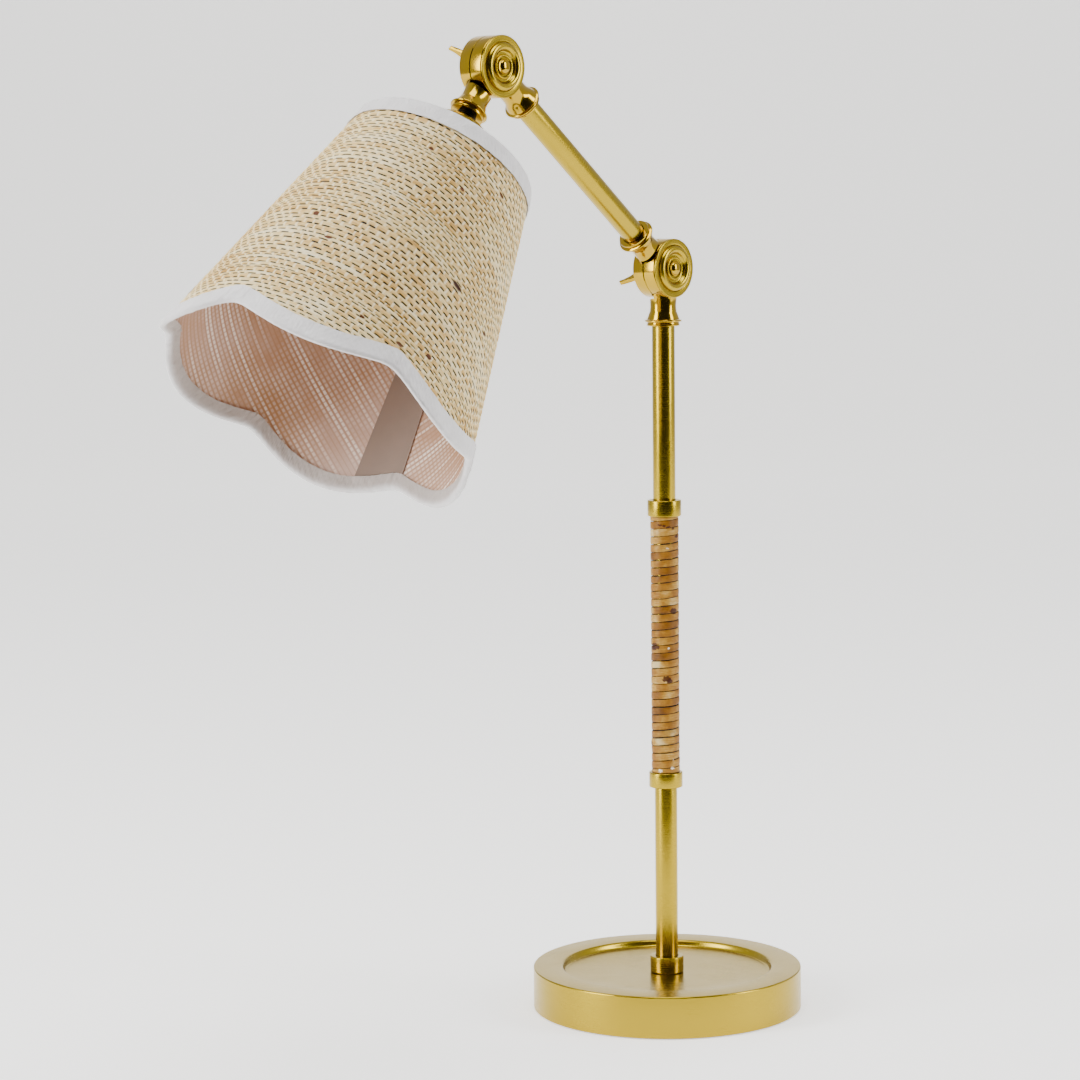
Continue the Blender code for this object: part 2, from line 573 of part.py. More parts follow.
def shell_band(section, steps, start=0.0, end=2 * pi):
    """A band round the head's axis; section(angle) gives its closed outline as (radius, drop) points."""
    bm = bmesh.new()
    whole = abs(end - start) > 2 * pi - 1e-6
    count = steps if whole else steps + 1
    rings = []
    for i in range(count):
        angle = start + (end - start) * i / steps
        rings.append([bm.verts.new((r * cos(angle), r * sin(angle), -drop)) for r, drop in section(angle)])
    around = [(rings[i], rings[(i + 1) % count]) for i in range(count if whole else count - 1)]
    for here, there in around:
        for j in range(len(here)):
            k = (j + 1) % len(here)
            bm.faces.new((here[j], here[k], there[k], there[j]))
    if not whole:
        bm.faces.new(rings[0])
        bm.faces.new(rings[-1][::-1])
    close_mesh(bm)
    return bm


def wall_section(outer_offset, thickness, top, bottom_inset):
    """Cross-section of a plain wall that ends short of the scalloped edge."""
    def section(angle):
        bottom = edge_drop(angle) - bottom_inset
        outer = [(cone_radius(d) - outer_offset, d) for d in (top, bottom)]
        inner = [(cone_radius(d) - outer_offset - thickness, d) for d in (bottom, top)]
        return outer + inner
    return section


def tape_section(edge, inward):
    """Cross-section of tape folded over an edge; inward is +1 where the tape hangs from the top edge."""
    depth = 2 * TRIM_THICKNESS + 3 * GAP + SKIN_THICKNESS + LINER_THICKNESS

    def section(angle):
        at_edge = edge(angle)
        fold = at_edge + inward * TRIM_THICKNESS
        outer_end = at_edge + inward * TRIM_WIDTH
        inner_end = at_edge + inward * TRIM_INNER_WIDTH
        return [(cone_radius(at_edge), at_edge), (cone_radius(outer_end), outer_end),
                (cone_radius(outer_end) - TRIM_THICKNESS, outer_end),
                (cone_radius(fold) - TRIM_THICKNESS, fold),
                (cone_radius(fold) - depth + TRIM_THICKNESS, fold),
                (cone_radius(inner_end) - depth + TRIM_THICKNESS, inner_end),
                (cone_radius(inner_end) - depth, inner_end), (cone_radius(at_edge) - depth, at_edge)]
    return section


def build_shade(head):
    around = SCALLOP_COUNT * STEPS_PER_SCALLOP
    skin_offset = TRIM_THICKNESS + GAP
    liner_offset = skin_offset + SKIN_THICKNESS + GAP
    top = SHADE_TOP_DROP + TRIM_THICKNESS + GAP
    inset = TRIM_THICKNESS + GAP
    skin = wall_section(skin_offset, SKIN_THICKNESS, top, inset)
    add_object("shade_skin", shell_band(skin, around), "raffia", head)
    add_object("shade_liner", shell_band(wall_section(liner_offset, LINER_THICKNESS, top, inset), around),
               "clear_film", head)
    add_object("shade_bottom_trim", shell_band(tape_section(edge_drop, -1), around), "cotton_tape", head)
    top_tape = tape_section(lambda angle: SHADE_TOP_DROP, 1)
    add_object("shade_top_trim", shell_band(top_tape, 44), "cotton_tape", head)
    seam_offset = liner_offset + LINER_THICKNESS + GAP
    clear_of_tape = TRIM_INNER_WIDTH + 0.0006
    strip = wall_section(seam_offset, 0.0004, SHADE_TOP_DROP + clear_of_tape, clear_of_tape)
    add_object("shade_seam_strip", shell_band(strip, 6, SEAM_START, SEAM_END), "seam_tape", head)

    # the wire ring, its three spokes and the fitter ring that sits on the lamp holder
    wire = 0.0012
    wire_drop = SHADE_TOP_DROP + 0.0045
    wire_radius = cone_radius(wire_drop) - 0.0036 - GAP - wire
    fitter_bottom = RING_DROP + 0.0016
    fitter = lathe(dropped([(HOLDER_RADIUS + 0.0005, RING_DROP), (0.0245, RING_DROP),
                            (0.0245, fitter_bottom), (HOLDER_RADIUS + 0.0005, fitter_bottom)]), 24)
    spider = add_object("shade_fitter", fitter, "plain_steel", head)
    ring = lathe(dropped([(wire_radius + x, wire_drop + y) for x, y in arc((0, 0), wire, 0, 300, 5)]), 36)
    cut(spider, add_object("fitter_wire_ring", ring, None, head), "UNION")
    inner_end = Vector((0.0238, 0, -RING_DROP - 0.0007))
    outer_end = Vector((wire_radius, 0, -wire_drop))
    run = outer_end - inner_end
    for number in range(3):
        rod = lathe([(0.0, 0.0), (0.0010, 0.0), (0.0010, run.length), (0.0, run.length)], 8, ring=False)
        lean = Vector((0, 0, 1)).rotation_difference(run).to_matrix().to_4x4()
        turn = Matrix.Rotation(2 * pi * number / 3 + radians(30), 4, "Z")
        place = turn @ Matrix.Translation(inner_end) @ lean
        cut(spider, add_object(f"fitter_spoke_{number + 1}", rod, None, head, place), "UNION")


# ---------------------------------------------------------------- inner lead
def add_lead(name, points, parent):
    curve = bpy.data.curves.new(name, "CURVE")
    curve.dimensions = "3D"
    curve.bevel_depth = LEAD_RADIUS
    curve.bevel_resolution = 2
    curve.use_fill_caps = True
    spline = curve.splines.new("POLY")
    spline.points.add(len(points) - 1)
    for point, place in zip(spline.points, points):
        point.co = (*place, 1.0)
    lead = bpy.data.objects.new(name, curve)
    bpy.context.scene.collection.objects.link(lead)
    curve.materials.append(finish(name, "lead_sleeve"))
    lead.parent = parent
    return lead


def build_leads(stand, arm, head):
    """The inner lead, in one length for each rigid body; it stops short of the pivots."""
    stop = DISC_RADIUS + 0.0010
    run_height, bend = 0.0042, 0.0060
    route = [(x, 0, z) for x, z in bezier((0.0690, 0.0088), (0.0560, 0.0090), (0.0440, 0.0060), 4)]
    route += [(x, 0, z) for x, z in bezier((0.0400, 0.0051), (0.0340, 0.0042), (0.0260, run_height), 3)]
    route += [(x, 0, z) for x, z in arc((bend, run_height + bend), bend, 270, 180, 6)]
    route += [(0, 0, ELBOW_HEIGHT - stop)]
    add_lead("inner_lead_stand", route, stand)
    add_lead("inner_lead_arm", [(0, 0, stop), (0, 0, ARM_LENGTH - stop)], arm)
    add_lead("inner_lead_head", [(0, 0, -stop), (0, 0, -HOLDER_SEAT_DROP + 0.0010)], head)


# ---------------------------------------------------------------- assembly
clear_scene()
stand_frame = add_frame("stand_frame", (0, 0, 0))
arm_frame = add_frame("arm_frame", (0, 0, ELBOW_HEIGHT), tilt=-ARM_TILT)
head_frame = add_frame("head_frame", (0, 0, ARM_LENGTH), tilt=ARM_TILT + HEAD_TILT, parent=arm_frame)
build_base(stand_frame)
build_pole(stand_frame)
build_lower_elbow(stand_frame, arm_frame)
build_arm(arm_frame)
build_upper_elbow(arm_frame, head_frame)
build_holder(head_frame)
build_bulb(head_frame)
build_shade(head_frame)
build_leads(stand_frame, arm_frame, head_frame)
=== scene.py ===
import json
from math import atan2, cos, degrees, exp, floor, hypot, pi, radians, sin, sqrt
import bmesh
import bpy
from mathutils import Matrix, Vector, noise


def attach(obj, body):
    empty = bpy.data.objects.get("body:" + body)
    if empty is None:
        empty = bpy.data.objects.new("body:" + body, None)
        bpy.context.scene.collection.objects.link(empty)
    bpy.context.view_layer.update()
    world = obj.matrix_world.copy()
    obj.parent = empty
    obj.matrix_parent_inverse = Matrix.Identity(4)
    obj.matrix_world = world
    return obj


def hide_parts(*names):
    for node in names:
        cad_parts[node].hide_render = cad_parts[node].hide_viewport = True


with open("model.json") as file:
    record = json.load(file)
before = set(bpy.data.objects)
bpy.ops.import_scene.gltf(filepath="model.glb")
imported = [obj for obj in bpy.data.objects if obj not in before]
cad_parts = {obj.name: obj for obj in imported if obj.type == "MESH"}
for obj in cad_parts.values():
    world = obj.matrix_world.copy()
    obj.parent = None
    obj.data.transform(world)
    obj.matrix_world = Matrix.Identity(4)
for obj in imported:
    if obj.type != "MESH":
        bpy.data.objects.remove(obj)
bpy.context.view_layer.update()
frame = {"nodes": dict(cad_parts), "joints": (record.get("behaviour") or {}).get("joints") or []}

mm = 0.001

# places read from the frame: the two elbows, and the switch knob that lies on the head's axis
joints = {joint["name"]: joint for joint in frame["joints"]}
lowerPivot = Vector(joints["lower_elbow"]["pos_m"])
upperPivot = Vector(joints["upper_elbow"]["pos_m"])
knobPlace = Vector(joints["switch_knob_turn"]["pos_m"])
armReach = upperPivot - lowerPivot
armTilt = atan2(-armReach.x, armReach.z)
headDrop = knobPlace - upperPivot
headTilt = atan2(-headDrop.x, -headDrop.z)
atLowerElbow = Matrix.Translation(lowerPivot)
alongArm = atLowerElbow @ Matrix.Rotation(-armTilt, 4, "Y")
atArmEnd = alongArm @ Matrix.Translation((0, 0, armReach.length))
atHead = Matrix.Translation(upperPivot) @ Matrix.Rotation(headTilt, 4, "Y")
toFront = Matrix.Rotation(pi / 2, 4, "X")        # a piece turned on Z faces the capped side
toBack = Matrix.Rotation(-pi / 2, 4, "X")

# camera and studio
cameraView = {"place": (-1.3937, -1.1636, 0.4692), "turn": 42.07, "down": 6.32, "roll": -0.58, "lens": 108.16}
studio = {
    "front": 0.62, "back": 3.2, "side": 1.9, "bend": 1.2, "height": 3.4,   # the white sweep round the lamp
    "bendSteps": 12,
    "tone": "#f6f5f3", "glow": 1.1,             # the sweep is lit through from behind as well
    "around": 0.75, "nearCamera": 0.03, "darkFrom": 0.62,    # the room, and the dark behind the camera
    "background": 2.9,
    "softboxes": [                               # place, width, height, power
        ((-2.1, 0.9, 1.0), 0.9, 1.9, 78.0),
        ((0.9, -2.2, 1.1), 0.7, 1.9, 46.0),
        ((-0.5, -0.3, 2.5), 1.3, 1.3, 40.0),
    ],
}


def linear(hexTone):
    # sRGB hex to linear red, green, blue and a full alpha
    parts = [int(hexTone[i:i + 2], 16) / 255 for i in (1, 3, 5)]
    return tuple(c / 12.92 if c <= 0.04045 else ((c + 0.055) / 1.055) ** 2.4 for c in parts) + (1.0,)


def darker(tone, share):
    return tuple(part * share for part in linear(tone)[:3]) + (1.0,)


def fill(tree, node, inputs):
    # links a node's inputs or sets their values, by name or in order
    for key, value in inputs.items() if isinstance(inputs, dict) else enumerate(inputs):
        if isinstance(value, bpy.types.NodeSocket):
            tree.links.new(value, node.inputs[key])
        else:
            node.inputs[key].default_value = value


def put(tree, kind, settings=None, inputs=None, out=0):
    # adds a node, sets it, fills its inputs and gives back one of its outputs
    node = tree.nodes.new("ShaderNode" + kind)
    for key, value in (settings or {}).items():
        if key != "stops":
            setattr(node, key, value)
            continue
        ramp = node.color_ramp.elements                  # the stops of a colour ramp, as places and tones
        for stop in (0, -1):
            ramp[stop].position, ramp[stop].color = value[stop][0], linear(value[stop][1])
        for place, tone in value[1:-1]:
            ramp.new(place).color = linear(tone)
    fill(tree, node, inputs or ())
    return node.outputs[out]


# what the Math, Mix and Map Range nodes are set to
plus, minus, times = {"operation": "ADD"}, {"operation": "SUBTRACT"}, {"operation": "MULTIPLY"}
timesPlus, nearest, wholePart = {"operation": "MULTIPLY_ADD"}, {"operation": "ROUND"}, {"operation": "FLOOR"}
magnitude, cosine, toPower = {"operation": "ABSOLUTE"}, {"operation": "COSINE"}, {"operation": "POWER"}
lesser, above, thereAndBack = {"operation": "MINIMUM"}, {"operation": "GREATER_THAN"}, {"operation": "PINGPONG"}
colourMix, smoothStep = {"data_type": "RGBA"}, {"interpolation_type": "SMOOTHSTEP"}


def blank(name):
    # a new material with its tree and its shader
    made = bpy.data.materials.new(name)
    made.use_nodes = True
    return made, made.node_tree, made.node_tree.nodes["Principled BSDF"]


def deselectAll():
    if bpy.context.mode != "OBJECT":
        bpy.ops.object.mode_set(mode="OBJECT")
    bpy.ops.object.select_all(action="DESELECT")


def pick(piece):
    # makes one piece the only one that the next step works on
    deselectAll()
    piece.select_set(True)
    bpy.context.view_layer.objects.active = piece


def setPlace(piece, place):
    # moves a piece to its place and leaves its object at the origin, unturned
    piece.matrix_world = place
    pick(piece)
    bpy.ops.object.transform_apply(location=True, rotation=True, scale=True)


def smooth(piece, angle=32):
    pick(piece)
    bpy.ops.object.shade_smooth_by_angle(angle=radians(angle))


def placeCamera():
    lens = bpy.data.cameras.new("studioCamera")
    lens.lens = cameraView["lens"]
    lens.sensor_width = 36.0
    lens.clip_end = 100.0
    camera = bpy.data.objects.new("studioCamera", lens)
    bpy.context.scene.collection.objects.link(camera)
    turn = Matrix.Rotation(radians(cameraView["turn"] - 90), 4, "Z")
    tip = Matrix.Rotation(radians(90 - cameraView["down"]), 4, "X")
    roll = Matrix.Rotation(radians(cameraView["roll"]), 4, "Z")
    camera.matrix_world = Matrix.Translation(cameraView["place"]) @ turn @ tip @ roll
    bpy.context.scene.camera = camera


def setStudio():
    # a white sheet lies under the lamp and bends up behind it
    size = studio
    deselectAll()
    bpy.ops.mesh.primitive_plane_add(size=1.0)
    sweep = bpy.context.object
    sweep.name = "studioFloor"
    for vert in sweep.data.vertices:
        vert.co = Vector((vert.co.x * 2 * size["side"], size["back"] if vert.co.y > 0 else -size["front"], 0))
    bpy.ops.object.mode_set(mode="EDIT")
    drawn = bmesh.from_edit_mesh(sweep.data)
    for vert in drawn.verts:
        vert.select_set(vert.co.y > 0)
    drawn.select_flush_mode()
    for number in range(size["bendSteps"]):
        low, high = (radians(90 * step / size["bendSteps"]) for step in (number, number + 1))
        rise, run = cos(low) - cos(high), sin(high) - sin(low)
        step = (0, run * size["bend"], rise * size["bend"])
        bpy.ops.mesh.extrude_edges_move(TRANSFORM_OT_translate={"value": step})
    bpy.ops.mesh.extrude_edges_move(TRANSFORM_OT_translate={"value": (0, 0, size["height"])})
    bpy.ops.object.mode_set(mode="OBJECT")
    setPlace(sweep, Matrix.Rotation(radians(cameraView["turn"] - 90), 4, "Z"))
    smooth(sweep, 40)
    paint, tree, shader = blank("matt white paper")
    fill(tree, shader, {"Base Color": linear(size["tone"]), "Roughness": 0.85,
                        "Emission Color": linear(size["tone"]), "Emission Strength": size["glow"]})
    sweep.data.materials.append(paint)
    for number, (place, width, height, power) in enumerate(size["softboxes"]):
        lamp = bpy.data.lights.new("softbox%d" % (number + 1), "AREA")
        lamp.shape = "RECTANGLE"
        lamp.size = width
        lamp.size_y = height
        lamp.energy = power
        softbox = bpy.data.objects.new(lamp.name, lamp)
        softbox.location = place
        softbox.rotation_euler = (Vector((0, 0, 0.3)) - Vector(place)).to_track_quat("-Z", "Y").to_euler()
        bpy.context.scene.collection.objects.link(softbox)
    world = bpy.data.worlds.new("studioRoom")
    bpy.context.scene.world = world
    world.use_nodes = True
    tree = world.node_tree
    tree.nodes.clear()
    toCamera = Vector(cameraView["place"]) * Vector((1, 1, 0))
    heading = put(tree, "TexCoord", None, None, 0)
    facing = put(tree, "VectorMath", {"operation": "DOT_PRODUCT"}, [heading, toCamera.normalized()], 1)
    light = put(tree, "MapRange", smoothStep,
                [facing, 0.0, size["darkFrom"], size["around"], size["nearCamera"]])
    white = linear("#ffffff")
    room = put(tree, "Background", None, {"Color": white, "Strength": light})
    seen = put(tree, "Background", None, {"Color": white, "Strength": size["background"]})
    direct = put(tree, "LightPath")
    both = put(tree, "MixShader", None, [direct, room, seen])
    put(tree, "OutputWorld", None, {"Surface": both}, out=slice(0, 0))


# materials


def brass(name, tone, roughness, markDepth):
    # lacquered brass, turned on a lathe: warm, with soft long reflections and the faintest tool rings
    made, tree, shader = blank(name)
    ringPitch = 0.35 * mm                        # real marks are finer, drawn this coarse to show at all
    turned = put(tree, "Attribute", {"attribute_name": "turned"}, None, 2)
    rings = put(tree, "TexNoise", {"noise_dimensions": "1D"},
                {"W": turned, "Scale": 1 / ringPitch, "Detail": 3.0})
    place = put(tree, "TexCoord", None, None, 3)
    smudges = put(tree, "TexNoise", None, {"Vector": place, "Scale": 38.0, "Detail": 4.0, "Roughness": 0.6})
    wear = put(tree, "Math", timesPlus, [smudges, 0.16, roughness - 0.08])
    grain = put(tree, "Math", timesPlus, [rings, 0.08, wear])
    shade = put(tree, "Mix", colourMix, {0: smudges, 6: darker(tone, 0.88), 7: linear(tone)}, 2)
    bump = put(tree, "Bump", None, {"Height": rings, "Strength": 0.35, "Distance": markDepth})
    fill(tree, shader, {"Roughness": grain, "Base Color": shade, "Normal": bump, "Metallic": 1.0})
    return made


def plainMetal(name, tone, roughness, patchSize):
    # zinc plated or blackened steel and cast iron: dull, with cloudy patches
    made, tree, shader = blank(name)
    place = put(tree, "TexCoord", None, None, 3)
    cloud = put(tree, "TexNoise", None, {"Vector": place, "Scale": 1 / patchSize, "Detail": 5.0})
    rough = put(tree, "Math", timesPlus, [cloud, 0.3, roughness - 0.15])
    shade = put(tree, "Mix", colourMix, {0: cloud, 6: darker(tone, 0.7), 7: linear(tone)}, 2)
    bump = put(tree, "Bump", None, {"Height": cloud, "Strength": 0.2, "Distance": 0.1 * mm})
    fill(tree, shader, {"Roughness": rough, "Base Color": shade, "Normal": bump, "Metallic": 1.0})
    return made


def moulded(name, tone, roughness, grain):
    # pressed or moulded plastic, fibre and rubber: even, with a fine skin that breaks up the gloss
    made, tree, shader = blank(name)
    place = put(tree, "TexCoord", None, None, 3)
    skin = put(tree, "TexNoise", None, {"Vector": place, "Scale": 1 / grain, "Detail": 2.0})
    cloud = put(tree, "TexNoise", None, {"Vector": place, "Scale": 90.0, "Detail": 3.0})
    rough = put(tree, "Math", timesPlus, [cloud, 0.2, roughness - 0.1])
    shade = put(tree, "Mix", colourMix, {0: cloud, 6: darker(tone, 0.8), 7: linear(tone)}, 2)
    bump = put(tree, "Bump", None, {"Height": skin, "Strength": 0.25, "Distance": 0.05 * mm})
    fill(tree, shader, {"Roughness": rough, "Base Color": shade, "Normal": bump, "IOR": 1.5})
    return made


def pressedFelt(name, tone):
    # pressed wool felt: matt and hairy, with fibres lying every way
    made, tree, shader = blank(name)
    place = put(tree, "TexCoord", None, None, 3)
    hairs = put(tree, "TexNoise", None, {"Vector": place, "Scale": 1 / (0.8 * mm), "Detail": 4.0,
                                         "Distortion": 1.5})
    shade = put(tree, "Mix", colourMix, {0: hairs, 6: darker(tone, 0.5), 7: linear(tone)}, 2)
    bump = put(tree, "Bump", None, {"Height": hairs, "Strength": 0.8, "Distance": 0.3 * mm})
    fill(tree, shader, {"Base Color": shade, "Normal": bump, "Roughness": 0.95, "Sheen Weight": 0.4})
    return made


def opalGlass(name):
    # opal blown glass: white and cloudy under a clear gloss
    made, tree, shader = blank(name)
    place = put(tree, "TexCoord", None, None, 3)
    cloud = put(tree, "TexNoise", None, {"Vector": place, "Scale": 45.0, "Detail": 2.0})
    shade = put(tree, "Mix", colourMix, {0: cloud, 6: linear("#e9e8e2"), 7: linear("#f6f5f1")}, 2)
    fill(tree, shader, {"Base Color": shade, "Roughness": 0.12, "IOR": 1.52, "Subsurface Weight": 0.3,
                        "Subsurface Radius": (0.004, 0.004, 0.004), "Subsurface Scale": 1.0})
    return made


# the raffia cloth's cells: one weft strip high and one warp thread wide, on the flat cloth before it is rolled
weave = {"columns": 176, "rows": 82, "columnPitch": 2.85, "rowPitch": 2.66, "length": 218.0}


def cellsOf(tree):
    uv = put(tree, "UVMap", {"uv_map": "UVMap"})
    cells = put(tree, "VectorMath", times, [uv, (weave["columns"], weave["rows"], 1)])
    return cells, put(tree, "SeparateXYZ", None, [cells], 0), put(tree, "SeparateXYZ", None, [cells], 1)


def stretched(tree, cells, across, along, detail=3.0):
    # noise in cell units, drawn out along the strips or the threads
    space = put(tree, "VectorMath", times, [cells, (across, along, 1.0)])
    return put(tree, "TexNoise", None, {"Vector": space, "Scale": 1.0, "Detail": detail, "Roughness": 0.6})


def raffiaCloth(name):
    # woven raffia: flat straw coloured strips, each its own tone, with the gaps open between them painted
    # as dark dashes of shade, and pale warp threads that cross them
    made, tree, shader = blank(name)
    cells, x, y = cellsOf(tree)
    row = put(tree, "Math", wholePart, [y])
    border = put(tree, "Math", nearest, [y])
    toBorder = put(tree, "Math", magnitude, [put(tree, "Math", minus, [y, border])])
    overRow = put(tree, "Math", cosine, [put(tree, "Math", times, [put(tree, "Math", plus, [x, row]), pi])])
    # threads wander, so the dashes are never quite in line
    wander = stretched(tree, cells, 0.30, 0.60, 2.0)
    shifted = put(tree, "Math", timesPlus, [wander, 1.6, put(tree, "Math", plus, [x, border])])
    uneven = put(tree, "Math", timesPlus, [stretched(tree, cells, 0.45, 1.1, 2.0), 2.6, -1.3])
    regular = put(tree, "Math", cosine, [put(tree, "Math", times, [shifted, pi])])
    overBorder = put(tree, "Math", plus, [uneven, regular])

    # each strip has its own tone, and long fibres run along it
    stripTone = put(tree, "TexWhiteNoise", {"noise_dimensions": "1D"}, {"W": row})
    stretch = stretched(tree, cells, 0.14, 1.0)
    fibres = stretched(tree, cells, 0.35, 7.0, 4.0)
    place = put(tree, "TexCoord", None, None, 3)
    patches = put(tree, "TexNoise", None, {"Vector": place, "Scale": 24.0, "Detail": 3.0, "Roughness": 0.6})
    mixed = put(tree, "Math", timesPlus, [stripTone, 0.16, -0.40])
    mixed = put(tree, "Math", timesPlus, [stretch, 0.62, mixed])
    mixed = put(tree, "Math", timesPlus, [fibres, 0.72, mixed])
    mixed = put(tree, "Math", timesPlus, [patches, 0.45, mixed])
    strips = put(tree, "ValToRGB", {"stops": ((0.16, "#855c26"), (0.34, "#bb8d42"), (0.48, "#d8b068"),
                                              (0.62, "#ebd092"), (0.84, "#f9eeca"))}, [mixed])

    # warp threads show where they pass over a strip
    thread = put(tree, "MapRange", smoothStep, [overRow, -0.66, -0.92, 0.0, 0.8])
    present = put(tree, "MapRange", smoothStep, [stretched(tree, cells, 0.4, 0.4), 0.32, 0.52])
    thread = put(tree, "Math", times, [thread, present])
    colour = put(tree, "Mix", colourMix, {0: thread, 6: strips, 7: linear("#f7e8bf")}, 2)

    # painted shade: the gaps between strips are nearly black dashes, some of them faint
    ragged = put(tree, "Math", timesPlus, [wander, 0.10, toBorder])
    narrow = put(tree, "MapRange", smoothStep, [ragged, 0.265, 0.135])
    shadedGap = put(tree, "Math", times, [narrow, put(tree, "MapRange", smoothStep, [overBorder, -0.55, 0.0])])
    share = put(tree, "MapRange", smoothStep, [stretched(tree, cells, 0.45, 0.9, 2.0), 0.24, 0.42, 0.30, 1.0])
    shadedGap = put(tree, "Math", times, [shadedGap, share])
    colour = put(tree, "Mix", colourMix, {0: shadedGap, 6: colour, 7: linear("#150a04")}, 2)

    # brown flecks of bark and a few knots
    for cellSize, least, radius, tone in ((0.15, 0.80, 0.10, "#5a2f12"), (0.060, 0.80, 0.075, "#3a1a08")):
        space = put(tree, "VectorMath", times, [cells, (cellSize, cellSize * 1.6, 1.0)])
        spots = {"Vector": space, "Scale": 1.0}
        apart = put(tree, "TexVoronoi", {"voronoi_dimensions": "2D"}, spots, 0)
        chosen = put(tree, "TexVoronoi", {"voronoi_dimensions": "2D"}, spots, 1)
        apart = put(tree, "Math", timesPlus, [stretched(tree, cells, 1.5, 2.5, 3.0), 0.06, apart])
        fleck = put(tree, "Math", times, [put(tree, "MapRange", smoothStep, [apart, radius + 0.05, radius]),
                                          put(tree, "Math", above, [chosen, least])])
        colour = put(tree, "Mix", colourMix, {0: fleck, 6: colour, 7: linear(tone)}, 2)

    height = put(tree, "Math", timesPlus, [put(tree, "Math", toPower, [toBorder, 0.5]), 1.4,
                                           put(tree, "Math", times, [fibres, 0.5])])
    height = put(tree, "Math", timesPlus, [thread, 0.4, height])
    height = put(tree, "Math", timesPlus, [shadedGap, -0.6, height])
    bump = put(tree, "Bump", None, {"Height": height, "Strength": 0.7, "Distance": 0.4 * mm})
    fill(tree, shader, {"Base Color": colour, "Normal": bump, "Roughness": 0.60, "Specular IOR Level": 0.3})
    return made


def shadeFilm(name):
    # lining film laminated to the cloth: light between the threads draws pale bars and a fine grid on brown
    made, tree, shader = blank(name)
    cells, x, y = cellsOf(tree)
    across = put(tree, "Math", magnitude, [put(tree, "Math", minus, [y, put(tree, "Math", nearest, [y])])])
    beside = put(tree, "Math", magnitude, [put(tree, "Math", minus, [x, put(tree, "Math", nearest, [x])])])
    row = put(tree, "Math", nearest, [put(tree, "Math", plus, [y, 0.5])])
    bands = put(tree, "TexNoise", {"noise_dimensions": "1D"},
                {"W": row, "Scale": 0.34, "Detail": 3.0, "Roughness": 0.8})
    fade = put(tree, "MapRange", smoothStep, [stretched(tree, cells, 0.05, 0.12), 0.34, 0.60, 0.10, 1.0])
    faded = put(tree, "Math", times, [put(tree, "MapRange", smoothStep, [bands, 0.47, 0.64]), fade])
    bars = put(tree, "Math", times, [put(tree, "MapRange", smoothStep, [across, 0.16, 0.34]), faded])
    bars = put(tree, "Math", times, [bars, put(tree, "MapRange", smoothStep, [beside, 0.06, 0.20, 0.30, 1.0])])
    gridShare = put(tree, "MapRange", smoothStep, [stretched(tree, cells, 0.06, 0.08), 0.40, 0.62, 0.04, 0.42])
    grid = put(tree, "Math", times, [put(tree, "MapRange", smoothStep, [across, 0.12, 0.34]),
                                     put(tree, "MapRange", smoothStep, [beside, 0.08, 0.30, 0.25, 1.0])])
    light = put(tree, "Math", timesPlus, [grid, gridShare, put(tree, "Math", times, [bars, 0.9])])
    light = put(tree, "Math", lesser, [light, 0.9])
    place = put(tree, "TexCoord", None, None, 3)
    patches = put(tree, "TexNoise", None, {"Vector": place, "Scale": 15.0, "Detail": 3.0})
    colour = put(tree, "ValToRGB", {"stops": ((0.32, "#a8784c"), (0.5, "#bd957a"), (0.68, "#c9ab9a"))},
                 [patches])
    thinLines = put(tree, "Math", times, [put(tree, "MapRange", smoothStep, [across, 0.16, 0.03]), 0.22])
    colour = put(tree, "Mix", colourMix, {0: thinLines, 6: colour, 7: linear("#8a5a38")}, 2)
    colour = put(tree, "Mix", colourMix, {0: light, 6: colour, 7: linear("#f6ebe0")}, 2)
    bump = put(tree, "Bump", None, {"Height": light, "Strength": 0.12, "Distance": 0.1 * mm})
    fill(tree, shader, {"Base Color": colour, "Normal": bump, "Roughness": 0.42})
    return made


